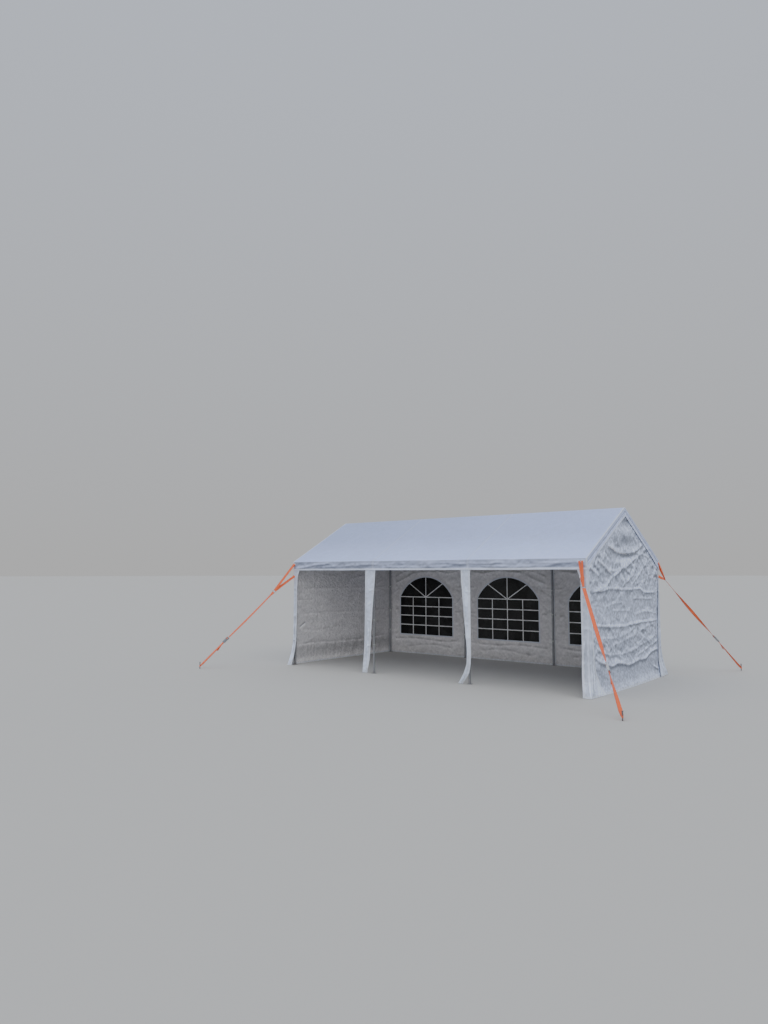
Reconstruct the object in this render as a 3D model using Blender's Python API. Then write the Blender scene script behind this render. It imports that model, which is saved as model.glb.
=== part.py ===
"""Marquee tent, 3 m deep and 6 m long, open along its front.

A frame of steel tubes pushed into sockets carries a loose roof sheet with
valances, three back walls with arched windows, two plain end walls and strips
that cover the legs. Four ratchet straps run from the eave corners to pegs.

Metres. X runs along the ridge, Y from the open front to the back, Z up. The
origin is on the ground in the middle of the plan.
"""
import math

import bmesh
import bpy
from mathutils import Vector

# Overall sizes of the roof sheet, outside
LENGTH = 6.0
WIDTH = 3.0
EAVE_Z = 1.965
RIDGE_Z = 2.79
BAYS = 3
EAVE_DROP = 0.165
RAKE_DROP = 0.14
ROOF_SAG = 0.012

# Stock
SHEET_T = 0.003
FILM_T = 0.001
GAP = 0.0004
LAYER_SPACE = 0.003

# Steel tubes and the sockets they push into
TUBE_R = 0.019
FIT = 0.0003
SOCKET_WALL = 0.0027
SOCKET_LENGTH = 0.095
TUBE_SEAT = 0.035
TUBE_SIDES = 16
SMOOTH_ANGLE = math.radians(40)
PLATE_SIZE = 0.08
PLATE_T = 0.003

# Share of a socket's radius that it runs past the point where the axes meet
SLEEVE_PAST = 0.6
COLLAR_PAST = 0.4

# How far the foot of each sheet stands out of its wall, and from what height
END_FLARE = {"left": 0.045, "right": 0.115}
END_FLARE_TOP = 0.55
BACK_FLARE = 0.035
BACK_FLARE_TOP = 0.36
COVER_FLARE = 0.12
COVER_SIDE_FLARE = 0.012
COVER_FLARE_TOP = 0.6

# Share of an end wall's swing that is left at its corners, and how much a
# back wall's swing comes and goes along it
END_FLARE_EDGE = 0.55
BACK_RIPPLE = 0.25

# Rows of points up a sheet, as shares of the height where its swing starts,
# and those of a corner cover as shares of its own height
END_ROWS = (0, 0.1, 0.22, 0.4, 0.65, 1.0)
BACK_ROWS = (0, 0.14, 0.33, 0.6, 1.0)
CORNER_ROWS = (0, 0.05, 0.12, 0.21, 0.31, 0.6, 0.9, 1.0)
END_COLUMNS = 10
BACK_COLUMNS = 8

# Arched window in each back wall
WINDOW_W = 1.37
WINDOW_SILL = 0.42
WINDOW_SPRING = 1.225
WINDOW_TOP = 1.65
FILM_LAP = 0.02
ARC_STEPS = 12
CUT_REACH = 0.015

# Leg covers: each corner's front leg and end leg, then the flat ones behind
CORNER_FRONT_W = 0.102
CORNER_FRONT_FOOT_W = 0.12
CORNER_END_W = 0.094
CORNER_END_FOOT_W = 0.34
BACK_COVER_W = 0.2
COVER_HANG = 0.02

# Straps and pegs
STRAP_W = 0.05
STRAP_T = 0.003
STRAP_TIE_W = 0.03
STRAP_TIE_L = 0.07
BAND_REACH = 0.07
UPPER_BAND_DROP = 0.045
LOWER_BAND_DROP = 0.11
STRAND_PINCH = 0.5
RING_L = 0.05
RING_WALL = 0.005
RING_T = 0.008
RATCHET_L = 0.16
RATCHET_W = 0.06
RATCHET_T = 0.028
RATCHET_AT = 0.66
PEG_R = 0.008
PEG_H = 0.12
PEG_HEAD_R = 0.014
PEG_HEAD_T = 0.006
PEG_TIE_Z = 0.05

# The pegs that stand furthest out, measured from their eave corner
PEG_OUT_X = 0.955
PEG_OUT_Y = 1.504

# Each strap: which corner, where its loop closes and where its peg stands,
# both measured outwards from the eave corner, and the loop's drop below it
STRAPS = {
    "front_right": ((1, -1), (-0.015, 0.10, 0.415), (PEG_OUT_X, 1.271)),
    "front_left": ((-1, -1), (0.189, 0.324, 0.567), (0.876, PEG_OUT_Y)),
    "back_right": ((1, 1), (0.07, 0.105, 0.345), (0.92, 1.43)),
    "back_left": ((-1, 1), (0.13, 0.20, 0.465), (PEG_OUT_X, PEG_OUT_Y)),
}

# Middle leg covers in front, from foot to top: height as a share of the
# cover's own, then left and right edge from the leg and how far each edge
# stands out of the valance
LEFT_MIDDLE_COVER = (
    (0.005, -0.226, -0.087, 0.060, 0.030),
    (0.23, -0.192, -0.032, 0.030, 0.022),
    (0.47, -0.178, 0.005, 0.016, 0.030),
    (0.67, -0.177, 0.023, 0.006, 0.018),
    (0.90, -0.182, 0.055, 0.0, 0.0),
    (1.0, -0.182, 0.055, 0.0, 0.0),
)
RIGHT_MIDDLE_COVER = (
    (0.005, -0.194, -0.105, 0.050, 0.060),
    (0.09, -0.075, 0.005, 0.052, 0.040),
    (0.19, 0.022, 0.092, 0.060, 0.022),
    (0.46, -0.035, 0.070, 0.040, 0.012),
    (0.67, -0.085, 0.060, 0.018, 0.004),
    (0.90, -0.130, 0.054, 0.0, 0.0),
    (1.0, -0.130, 0.054, 0.0, 0.0),
)

# Sizes that follow from the ones above
SLOPE = math.atan2(RIDGE_Z - EAVE_Z, WIDTH / 2)
SOCKET_R = TUBE_R + FIT + SOCKET_WALL
COVER_X = LENGTH / 2 - SHEET_T - GAP
COVER_Y = WIDTH / 2 - SHEET_T - GAP
WALL_X = COVER_X - SHEET_T - LAYER_SPACE
WALL_Y = COVER_Y - SHEET_T - LAYER_SPACE
AXIS_X = WALL_X - SHEET_T - GAP - SOCKET_R
AXIS_Y = WALL_Y - SHEET_T - GAP - SOCKET_R
BAY = 2 * AXIS_X / BAYS
FRAMES = [-AXIS_X + BAY * k for k in range(BAYS + 1)]
COVER_TOP = EAVE_Z - COVER_HANG


def roof_under(y):
    """Height of the roof sheet's underside at a frame."""
    return RIDGE_Z - SHEET_T / math.cos(SLOPE) - abs(y) * math.tan(SLOPE)


AXIS_EAVE_Z = roof_under(AXIS_Y) - (SOCKET_R + GAP) / math.cos(SLOPE)
AXIS_RIDGE_Z = AXIS_EAVE_Z + AXIS_Y * math.tan(SLOPE)


def make_material(name, colour, roughness, metallic=0.0):
    material = bpy.data.materials.new(name)
    material.use_nodes = True
    shader = material.node_tree.nodes["Principled BSDF"]
    shader.inputs["Base Color"].default_value = (*colour, 1.0)
    shader.inputs["Roughness"].default_value = roughness
    shader.inputs["Metallic"].default_value = metallic
    return material


def add_object(name, vertices, faces, material=None):
    """One object from points and faces, every face pointing out."""
    mesh = bpy.data.meshes.new(name)
    mesh.from_pydata([tuple(v) for v in vertices], [], faces)
    mesh.update()
    shape = bmesh.new()
    shape.from_mesh(mesh)
    bmesh.ops.recalc_face_normals(shape, faces=shape.faces)
    shape.to_mesh(mesh)
    shape.free()
    if material:
        mesh.materials.append(material)
    item = bpy.data.objects.new(name, mesh)
    bpy.context.collection.objects.link(item)
    return item


def smooth_round(item):
    item.data.shade_smooth()
    item.data.set_sharp_from_angle(angle=SMOOTH_ANGLE)


def add_rod(name, start, end, radius, material=None):
    """A round bar; bars on one axis have their corners in line."""
    start, end = Vector(start), Vector(end)
    along = (end - start).normalized()
    across = Vector((0, 1, 0)) if abs(along.x) > 0.5 else Vector((1, 0, 0))
    third = along.cross(across)
    vertices = []
    for centre in (start, end):
        for k in range(TUBE_SIDES):
            turn = 2 * math.pi * k / TUBE_SIDES
            vertices.append(centre + radius * (math.cos(turn) * across + math.sin(turn) * third))
    count = TUBE_SIDES
    faces = [(k, (k + 1) % count, count + (k + 1) % count, count + k) for k in range(count)]
    faces += [tuple(range(count))[::-1], tuple(range(count, 2 * count))]
    item = add_object(name, vertices, faces, material)
    smooth_round(item)
    return item


def add_box(name, low, high, material=None):
    (x0, y0, z0), (x1, y1, z1) = low, high
    vertices = [(x, y, z) for x in (x0, x1) for y in (y0, y1) for z in (z0, z1)]
    faces = [(0, 1, 3, 2), (4, 6, 7, 5), (0, 4, 5, 1), (2, 3, 7, 6), (0, 2, 6, 4), (1, 5, 7, 3)]
    return add_object(name, vertices, faces, material)


def combine(base, others, operation):
    """Join or cut solids, and keep the result as the base's own mesh."""
    for other in others:
        step = base.modifiers.new(operation.lower(), "BOOLEAN")
        step.operation = operation
        step.solver = "EXACT"
        step.object = other
    shaped = base.evaluated_get(bpy.context.evaluated_depsgraph_get())
    mesh = bpy.data.meshes.new_from_object(shaped)
    base.modifiers.clear()
    base.data = mesh
    for other in others:
        bpy.data.objects.remove(other)
    return base


def add_sheet(name, faces, outer, inner, material):
    """A sheet with thickness: faces of keys, placed by an outer and an inner rule.

    Each face is split into triangles, alike on both sides, so that a twisted
    sheet keeps its thickness.
    """
    faces = [(face[0], face[k], face[k + 1]) for face in faces for k in range(1, len(face) - 1)]
    keys = sorted({key for face in faces for key in face}, key=str)
    number = {key: k for k, key in enumerate(keys)}
    count = len(keys)
    vertices = [outer(key) for key in keys] + [inner(key) for key in keys]
    solid = [tuple(number[key] for key in face) for face in faces]
    edges = {(face[k], face[(k + 1) % len(face)]) for face in solid for k in range(len(face))}
    rim = [(b, a, a + count, b + count) for a, b in sorted(edges) if (b, a) not in edges]
    back = [tuple(k + count for k in reversed(face)) for face in solid]
    return add_object(name, vertices, solid + back + rim, material)


def grid_faces(columns, rows):
    return [((i, j), (i + 1, j), (i + 1, j + 1), (i, j + 1))
            for i in range(columns - 1) for j in range(rows - 1)]


def spread(low, high, steps):
    return [low + (high - low) * k / steps for k in range(steps + 1)]


# Frame

def node_at(x, side):
    """The point where a leg, its eave tubes and its rafter meet."""
    return Vector((x, side * AXIS_Y, AXIS_EAVE_Z))


def ridge_at(x):
    return Vector((x, 0, AXIS_RIDGE_Z))


def socket_arms(frame, slopes):
    """Directions of the tubes at one fitting: along the ridge, then the slopes."""
    arms = []
    if frame > 0:
        arms.append(Vector((-1, 0, 0)))
    if frame < BAYS:
        arms.append(Vector((1, 0, 0)))
    return arms + slopes


def add_fitting(name, centre, arms, past, material, extra=()):
    """Sockets around one point, with a blind bore for each tube."""
    through = arms[0].x * arms[1].x < 0
    sleeves = []
    for arm in arms[1:] if through else arms:
        behind = SOCKET_LENGTH if through and arm.x else past(arm)
        sleeves.append(add_rod("sleeve", centre - behind * arm, centre + SOCKET_LENGTH * arm, SOCKET_R))
    bores = [add_rod("bore", centre + (TUBE_SEAT - FIT) * arm,
                     centre + (SOCKET_LENGTH + TUBE_SEAT) * arm, TUBE_R + FIT)
             for arm in arms]
    body = sleeves.pop(0)
    body.name = name
    body.data.materials.append(material)
    combine(body, sleeves + list(extra), "UNION")
    combine(body, bores, "DIFFERENCE")
    smooth_round(body)
    return body


def add_legs(material):
    """Foot plate, leg and eave sockets in one."""
    for frame, x in enumerate(FRAMES):
        for side, where in ((-1, "front"), (1, "back")):
            top = node_at(x, side)
            up_slope = Vector((0, -side * math.cos(SLOPE), math.sin(SLOPE)))
            half = PLATE_SIZE / 2
            plate = add_box("plate", (x - half, top.y - half, 0), (x + half, top.y + half, PLATE_T))
            leg = add_rod("tube", (x, top.y, PLATE_T / 2), top, TUBE_R)
            collar = add_rod("collar", top - Vector((0, 0, SOCKET_LENGTH)),
                             top + Vector((0, 0, SOCKET_R * COLLAR_PAST)), SOCKET_R)
            add_fitting(f"leg_{where}_{frame + 1}", top, socket_arms(frame, [up_slope]),
                        lambda arm: SOCKET_R * SLEEVE_PAST, material, (leg, collar, plate))


def add_ridge_fittings(material):
    slopes = [Vector((0, side * math.cos(SLOPE), -math.sin(SLOPE))) for side in (-1, 1)]
    for frame, x in enumerate(FRAMES):
        add_fitting(f"ridge_fitting_{frame + 1}", ridge_at(x), socket_arms(frame, slopes),
                    lambda arm: SOCKET_R * SLEEVE_PAST * abs(arm.x), material)


def add_tube(name, start, end, material):
    """A tube pushed home in the sockets at both its ends."""
    along = (end - start).normalized()
    add_rod(name, start + TUBE_SEAT * along, end - TUBE_SEAT * along, TUBE_R, material)


def add_tubes(material):
    for side, where in ((-1, "front"), (1, "back")):
        for k in range(BAYS):
            add_tube(f"eave_tube_{where}_{k + 1}", node_at(FRAMES[k], side),
                     node_at(FRAMES[k + 1], side), material)
        for k, x in enumerate(FRAMES):
            add_tube(f"rafter_{where}_{k + 1}", node_at(x, side), ridge_at(x), material)
    for k in range(BAYS):
        add_tube(f"ridge_tube_{k + 1}", ridge_at(FRAMES[k]), ridge_at(FRAMES[k + 1]), material)


# Roof sheet

def roof_sag(x, y):
    """How far the sheet hangs between two frames and between eave and ridge."""
    along = (x + AXIS_X) / BAY
    if along <= 0 or along >= BAYS:
        return 0.0
    return ROOF_SAG * math.sin(math.pi * along) ** 2 * math.sin(2 * math.pi * abs(y) / WIDTH)


def add_roof(material):
    bay_steps, slope_steps = 6, 4
    columns = [-LENGTH / 2] + spread(-AXIS_X, AXIS_X, BAYS * bay_steps) + [LENGTH / 2]
    rows = [-WIDTH / 2] + spread(-WIDTH / 2, WIDTH / 2, 2 * slope_steps) + [WIDTH / 2]
    last_column, last_row = len(columns) - 1, len(rows) - 1

    def place(key, depth):
        if key[0] in ("left", "right"):
            i, j = (0 if key[0] == "left" else last_column), key[1]
        else:
            i, j = key
        x = columns[i]
        x = math.copysign(LENGTH / 2 - depth, x) if i in (0, last_column) else x
        y = max(-WIDTH / 2 + depth, min(WIDTH / 2 - depth, rows[j]))
        if j in (0, last_row):
            return (x, y, EAVE_Z - EAVE_DROP)
        if key[0] in ("left", "right"):
            return (x, y, RIDGE_Z - abs(y) * math.tan(SLOPE) - RAKE_DROP)
        top = RIDGE_Z - abs(y) * math.tan(SLOPE) - roof_sag(x, y)
        return (x, y, top - depth / math.cos(SLOPE))

    def foot(end, i, j):
        """Lower edge of a gable valance; at a corner it is the eave valance's."""
        if j == 1:
            return (i, 0)
        if j == last_row - 1:
            return (i, last_row)
        return (end, j)

    faces = grid_faces(len(columns), len(rows))
    for j in range(1, last_row - 1):
        right = [foot("right", last_column, j), foot("right", last_column, j + 1),
                 (last_column, j + 1), (last_column, j)]
        left = [foot("left", 0, j), foot("left", 0, j + 1), (0, j + 1), (0, j)]
        faces += [tuple(right), tuple(reversed(left))]
    add_sheet("roof_sheet", faces, lambda key: place(key, 0), lambda key: place(key, SHEET_T), material)


# Walls

def swing(z, top, reach):
    """Outward swing of a hanging sheet's foot, none above its top."""
    return reach * max(0.0, (top - z) / top) ** 2


def end_flare(end, y, z):
    middle = math.cos(math.pi * y / WIDTH)
    return swing(z, END_FLARE_TOP, END_FLARE[end]) * (END_FLARE_EDGE + (1 - END_FLARE_EDGE) * middle)


def back_flare(x, z):
    ripple = 1 + BACK_RIPPLE * math.cos(2 * math.pi * x / BAY)
    return swing(z, BACK_FLARE_TOP, BACK_FLARE) * ripple


def add_end_walls(material):
    edge = WALL_Y - SHEET_T - 2 * GAP
    columns = spread(-edge, edge, END_COLUMNS)
    heights = [END_FLARE_TOP * share for share in END_ROWS]
    for side, where in ((-1, "left"), (1, "right")):

        def place(key, depth):
            y = columns[key[0]]
            if key[1] < len(heights):
                z = heights[key[1]]
            else:
                z = roof_under(y) - GAP
            return (side * (WALL_X + end_flare(where, y, z) - depth), y, z)

        add_sheet(f"end_wall_{where}", grid_faces(len(columns), len(heights) + 1),
                  lambda key: place(key, 0), lambda key: place(key, SHEET_T), material)


def arch_outline(centre, grow):
    """Window outline, sill first, with a round arch over the springing line."""
    half = WINDOW_W / 2
    rise = WINDOW_TOP - WINDOW_SPRING
    radius = (half ** 2 + rise ** 2) / (2 * rise)
    middle = WINDOW_TOP - radius
    reach = math.asin(half / radius)
    outline = [(centre - half - grow, WINDOW_SILL - grow), (centre + half + grow, WINDOW_SILL - grow)]
    for turn in spread(reach, -reach, ARC_STEPS):
        outline.append((centre + (radius + grow) * math.sin(turn), middle + (radius + grow) * math.cos(turn)))
    return outline


def add_prism(name, outline, low, high, material=None):
    """An upright outline in X and Z, made thick along Y."""
    count = len(outline)
    vertices = [(x, low, z) for x, z in outline] + [(x, high, z) for x, z in outline]
    faces = [tuple(range(count)), tuple(range(count, 2 * count))[::-1]]
    faces += [(k, count + k, count + (k + 1) % count, (k + 1) % count) for k in range(count)]
    return add_object(name, vertices, faces, material)


def add_back_walls(wall, film):
    heights = [BACK_FLARE_TOP * share for share in BACK_ROWS]
    top = roof_under(WALL_Y) - GAP
    panel = 2 * WALL_X / BAYS
    for bay in range(BAYS):
        start = -WALL_X + bay * panel
        columns = spread(start + GAP / 2, start + panel - GAP / 2, BACK_COLUMNS)
        centre = (bay - (BAYS - 1) / 2) * LENGTH / BAYS

        def place(key, depth):
            x = columns[key[0]]
            z = heights[key[1]] if key[1] < len(heights) else top
            return (x, WALL_Y + back_flare(x, z) - depth, z)

        sheet = add_sheet(f"back_wall_{bay + 1}", grid_faces(len(columns), len(heights) + 1),
                          lambda key: place(key, 0), lambda key: place(key, SHEET_T), wall)
        hole = add_prism("hole", arch_outline(centre, 0), WALL_Y - CUT_REACH, WALL_Y + CUT_REACH)
        combine(sheet, [hole], "DIFFERENCE")
        face = WALL_Y - SHEET_T - GAP
        add_prism(f"window_film_{bay + 1}", arch_outline(centre, FILM_LAP), face - FILM_T, face, film)


# Leg covers

def add_corner_covers(material):
    for side_x, where_x in ((-1, "left"), (1, "right")):
        for side_y, where_y in ((-1, "front"), (1, "back")):

            def place(key, depth):
                column, row = key
                z = CORNER_ROWS[row] * COVER_TOP
                open_foot = swing(z, COVER_FLARE_TOP, 1.0)
                front_w = CORNER_FRONT_W + (CORNER_FRONT_FOOT_W - CORNER_FRONT_W) * open_foot
                end_w = CORNER_END_W + (CORNER_END_FOOT_W - CORNER_END_W) * open_foot
                x = COVER_X + end_flare(where_x, COVER_Y, z) + COVER_SIDE_FLARE * open_foot
                y = COVER_Y + COVER_FLARE * open_foot
                if column <= 2:
                    at = (x - front_w * (1 - column / 2), y)
                else:
                    back = y - (y - COVER_Y + end_w) * (column - 2) / 2
                    at = (x + end_flare(where_x, back, z) - end_flare(where_x, COVER_Y, z), back)
                in_x = depth if column >= 2 else 0
                in_y = depth if column <= 2 else 0
                return (side_x * (at[0] - in_x), side_y * (at[1] - in_y), z)

            add_sheet(f"leg_cover_{where_y}_{where_x}", grid_faces(5, len(CORNER_ROWS)),
                      lambda key: place(key, 0), lambda key: place(key, SHEET_T), material)


def add_front_cover(name, x, stations, material):
    """A loose strip in front of a middle leg, twisted towards its foot."""
    def place(key, depth):
        share = key[0] / 2
        height, left, right, left_out, right_out = stations[key[1]]
        out = left_out + (right_out - left_out) * share
        return (x + left + (right - left) * share, -(COVER_Y + out - depth), height * COVER_TOP)

    add_sheet(name, grid_faces(3, len(stations)),
              lambda key: place(key, 0), lambda key: place(key, SHEET_T), material)


def add_back_cover(name, x, material):
    """A flat strip over the seam between two back walls."""
    heights = [BACK_FLARE_TOP * share for share in BACK_ROWS] + [COVER_TOP]

    def place(key, depth):
        at = x + BACK_COVER_W * (key[0] / 2 - 0.5)
        z = heights[key[1]]
        return (at, COVER_Y + back_flare(at, z) - depth, z)

    add_sheet(name, grid_faces(3, len(heights)),
              lambda key: place(key, 0), lambda key: place(key, SHEET_T), material)


def add_middle_covers(material):
    add_front_cover("leg_cover_front_middle_left", FRAMES[1], LEFT_MIDDLE_COVER, material)
    add_front_cover("leg_cover_front_middle_right", FRAMES[-2], RIGHT_MIDDLE_COVER, material)
    add_back_cover("leg_cover_back_middle_left", FRAMES[1], material)
    add_back_cover("leg_cover_back_middle_right", FRAMES[-2], material)


# Straps and pegs

def add_ribbon(name, stations, material=None):
    """A flat strap through stations of a point, a half width and a half thickness."""
    vertices = []
    for point, wide, thick in stations:
        point, wide, thick = Vector(point), Vector(wide), Vector(thick)
        vertices += [point - wide - thick, point + wide - thick, point + wide + thick, point - wide + thick]
    faces = [(0, 1, 2, 3), tuple(len(vertices) - 4 + k for k in (3, 2, 1, 0))]
    for row in range(len(stations) - 1):
        a, b = 4 * row, 4 * row + 4
        faces += [(a + k, a + (k + 1) % 4, b + (k + 1) % 4, b + k) for k in range(4)]
    return add_object(name, vertices, faces, material)


def add_band(corner_x, corner_y, side_x, side_y, z):
    """The strap's turn round a corner: a flat band along both faces."""
    outline = [(0, -BAND_REACH), (STRAP_T, -BAND_REACH), (STRAP_T, STRAP_T), (-BAND_REACH, STRAP_T),
               (-BAND_REACH, 0), (0, 0)]
    count = len(outline)
    vertices = [(corner_x + side_x * u, corner_y + side_y * v, z + level)
                for level in (-STRAP_W / 2, STRAP_W / 2) for u, v in outline]
    faces = [tuple(range(count)), tuple(range(count, 2 * count))[::-1]]
    faces += [(k, count + k, count + (k + 1) % count, (k + 1) % count) for k in range(count)]
    return add_object("band", vertices, faces)


def from_corner(sides, out_x, out_y, z):
    """A point measured outwards from one eave corner."""
    return Vector((sides[0] * (LENGTH / 2 + out_x), sides[1] * (WIDTH / 2 + out_y), z))


def add_strap(name, sides, ring, peg, material):
    side_x, side_y = sides
    up = Vector((0, 0, STRAP_W / 2))
    level = Vector((peg[0] - ring.x, peg[1] - ring.y, 0)).normalized()
    tie = Vector((peg[0], peg[1], PEG_TIE_Z)) - (PEG_R + GAP) * level
    run = (tie - ring).normalized()
    across = run.cross(Vector((0, 0, 1))).normalized()
    normal = across.cross(run)
    parts = []
    upper = (LENGTH / 2 + GAP, WIDTH / 2 + GAP, EAVE_Z - UPPER_BAND_DROP)
    lower = (COVER_X + GAP, COVER_Y + GAP, EAVE_Z - EAVE_DROP - LOWER_BAND_DROP)
    for x, y, z in (upper, lower):
        parts.append(add_band(side_x * x, side_y * y, side_x, side_y, z))
        start = Vector((side_x * (x + STRAP_T / 2), side_y * (y + STRAP_T / 2), z))
        flat = (ring - start).normalized()
        thick = flat.cross(Vector((0, 0, 1))).normalized() * STRAP_T / 2
        wide = thick.cross(flat).normalized() * STRAND_PINCH * STRAP_W / 2
        wide = wide if wide.z > 0 else -wide
        parts.append(add_ribbon("strand", [(start, up, thick), (ring + flat * STRAP_T, wide, thick)]))
    for centre, length, width, height in ((ring, RING_L, STRAP_W + 2 * RING_WALL, RING_T),
                                          (ring.lerp(tie, RATCHET_AT), RATCHET_L, RATCHET_W, RATCHET_T)):
        half = run * length / 2
        parts.append(add_ribbon("block", [(centre - half, across * width / 2, normal * height / 2),
                                          (centre + half, across * width / 2, normal * height / 2)]))
    strap = add_ribbon(name, [(ring, across * STRAP_W / 2, normal * STRAP_T / 2),
                              (tie - STRAP_TIE_L * run, across * STRAP_W / 2, normal * STRAP_T / 2),
                              (tie, across * STRAP_TIE_W / 2, Vector((0, 0, STRAP_T / 2)))], material)
    combine(strap, parts, "UNION")


def add_peg(name, peg, material):
    """The part of a driven peg that stands out of the ground."""
    x, y = peg
    body = add_rod(name, (x, y, 0), (x, y, PEG_H - PEG_HEAD_T / 2), PEG_R, material)
    head = add_rod("head", (x, y, PEG_H - PEG_HEAD_T), (x, y, PEG_H), PEG_HEAD_R)
    combine(body, [head], "UNION")
    smooth_round(body)


def main():
    for item in list(bpy.data.objects):
        bpy.data.objects.remove(item)
    steel = make_material("galvanised_steel", (0.52, 0.53, 0.54), 0.42, 0.9)
    roof = make_material("roof_sheeting", (0.62, 0.66, 0.75), 0.45)
    wall = make_material("wall_sheeting", (0.60, 0.62, 0.66), 0.5)
    film = make_material("clear_film", (0.10, 0.11, 0.12), 0.12)
    webbing = make_material("orange_webbing", (0.80, 0.16, 0.04), 0.7)
    peg_steel = make_material("peg_steel", (0.40, 0.39, 0.37), 0.5, 0.9)
    add_legs(steel)
    add_ridge_fittings(steel)
    add_tubes(steel)
    add_roof(roof)
    add_end_walls(wall)
    add_back_walls(wall, film)
    add_corner_covers(wall)
    add_middle_covers(wall)
    for name, (sides, (ring_x, ring_y, ring_drop), (peg_x, peg_y)) in STRAPS.items():
        ring = from_corner(sides, ring_x, ring_y, EAVE_Z - ring_drop)
        peg = from_corner(sides, peg_x, peg_y, 0).xy
        add_strap(f"guy_strap_{name}", sides, ring, peg, webbing)
        add_peg(f"ground_peg_{name}", peg, peg_steel)


main()
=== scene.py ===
"""Marquee tent: the finished sheets, straps and steel around the packed frame.

The file is laid out as a Blender add-on and is run as a script. Each operator
makes one group of like pieces. Metres; X runs along the ridge, Y from the open
front to the back, Z up, with the origin on the ground.
"""
import math
from functools import partialmethod

import bpy
import numpy as np
from bpy.props import FloatProperty, FloatVectorProperty, IntProperty, PointerProperty
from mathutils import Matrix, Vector


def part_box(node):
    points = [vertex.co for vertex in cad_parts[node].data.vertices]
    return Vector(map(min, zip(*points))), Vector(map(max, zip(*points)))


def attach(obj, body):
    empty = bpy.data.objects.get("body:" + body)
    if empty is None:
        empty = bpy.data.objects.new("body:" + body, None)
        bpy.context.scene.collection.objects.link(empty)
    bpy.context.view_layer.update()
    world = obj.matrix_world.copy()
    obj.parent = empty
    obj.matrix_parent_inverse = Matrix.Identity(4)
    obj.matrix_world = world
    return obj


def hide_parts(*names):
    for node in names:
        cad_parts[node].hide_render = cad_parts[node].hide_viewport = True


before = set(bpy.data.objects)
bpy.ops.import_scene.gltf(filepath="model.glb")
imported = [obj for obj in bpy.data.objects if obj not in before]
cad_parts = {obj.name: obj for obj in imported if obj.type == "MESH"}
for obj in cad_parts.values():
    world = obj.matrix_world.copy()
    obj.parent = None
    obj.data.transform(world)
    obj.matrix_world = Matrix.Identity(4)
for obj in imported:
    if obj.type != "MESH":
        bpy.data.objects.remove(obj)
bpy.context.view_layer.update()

bl_info = {
    "name": "Marquee tent",
    "version": (1, 0, 0),
    "blender": (4, 5, 0),
    "location": "3D View > Sidebar > Marquee",
    "description": "Sheets, straps, steel frame and stage of a party marquee",
    "category": "Object",
}

# What the frame says about the tent
ROOF_LOW, ROOF_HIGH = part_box("roof_sheet")
LENGTH = ROOF_HIGH[0] - ROOF_LOW[0]
WIDTH = ROOF_HIGH[1] - ROOF_LOW[1]
RIDGE_Z = ROOF_HIGH[2]
EAVE_DROP = 0.165
RAKE_DROP = 0.14
EAVE_Z = ROOF_LOW[2] + EAVE_DROP
SLOPE_RISE = (RIDGE_Z - EAVE_Z) / (WIDTH / 2)
SLOPE = math.atan(SLOPE_RISE)
PLATE_SIZE = 0.08
PLATE_T = 0.003
LEG_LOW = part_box("leg_front_1")[0]
AXIS_X = -LEG_LOW[0] - PLATE_SIZE / 2
AXIS_Y = -LEG_LOW[1] - PLATE_SIZE / 2
BAYS = 3
BAY = 2 * AXIS_X / BAYS
FRAMES = [-AXIS_X + BAY * k for k in range(BAYS + 1)]
WALL_X = 2.9906
WALL_Y = 1.4906
COVER_X = 2.9966
COVER_Y = 1.4966
COVER_TOP = 1.945
TUBE_R = 0.019
SOCKET_R = 0.022
SOCKET_LENGTH = 0.095
SLEEVE_PAST = 0.6 * SOCKET_R
TUBE_SEAT = 0.035
FIT = 0.0003
LIP = 0.0008
CAD_SHEET_T = 0.003
AXIS_EAVE_Z = RIDGE_Z - AXIS_Y * SLOPE_RISE - (CAD_SHEET_T + SOCKET_R + 0.0004) / math.cos(SLOPE)
AXIS_RIDGE_Z = AXIS_EAVE_Z + AXIS_Y * SLOPE_RISE
RIGHT = Vector((1, 0, 0))
UP = Vector((0, 0, 1))
END_SIDES = ((-1, "left"), (1, "right"))
LONG_SIDES = ((-1, "front"), (1, "back"))

# Room left between a sheet's middle and what it lies on
ROOF_INSET = 0.0015
ROOF_FOLD = 0.014
WALL_INSET = CAD_SHEET_T / 2
WALL_EDGE = 0.0006
COVER_PLAY = 0.0009
COVER_HELD_ABOVE = 1.79
COVER_LOOSE_BELOW = 1.72

# How far sheets end short of the roof's edge and of the eave, and the covers' flat widths
SHEET_END = 0.0012
WALL_UNDER_EAVE = 0.012
BACK_COVER_W = 0.2
# Columns of points beside a welded seam of the roof
ROOF_SEAM = (-0.016, -0.012, 0.012, 0.016)

# How the feet of the sheets swing out, as in the frame
END_FLARE = {"left": 0.045, "right": 0.115}
END_FLARE_TOP = 0.55
END_FLARE_EDGE = 0.55
BACK_FLARE = 0.035
BACK_FLARE_TOP = 0.36
BACK_RIPPLE = 0.25
COVER_FLARE = 0.12
COVER_SIDE_FLARE = 0.012
COVER_FLARE_TOP = 0.6

# Arched windows
FILM_LOW, FILM_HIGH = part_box("window_film_2")
FILM_LAP = 0.02
WINDOW_W = FILM_HIGH[0] - FILM_LOW[0] - 2 * FILM_LAP
WINDOW_SILL = FILM_LOW[2] + FILM_LAP
WINDOW_TOP = FILM_HIGH[2] - FILM_LAP
WINDOW_SPRING = 1.225
WINDOW_RISE = WINDOW_TOP - WINDOW_SPRING
ARCH_R = ((WINDOW_W / 2) ** 2 + WINDOW_RISE ** 2) / (2 * WINDOW_RISE)
ARCH_Z = WINDOW_TOP - ARCH_R
# Where a slanting bar ends, out and up from the middle of the arch's foot
FAN_BAR = (0.435, 0.29)
BORDER_W = 0.026
BORDER_Y = WALL_Y - 0.0032

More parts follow.
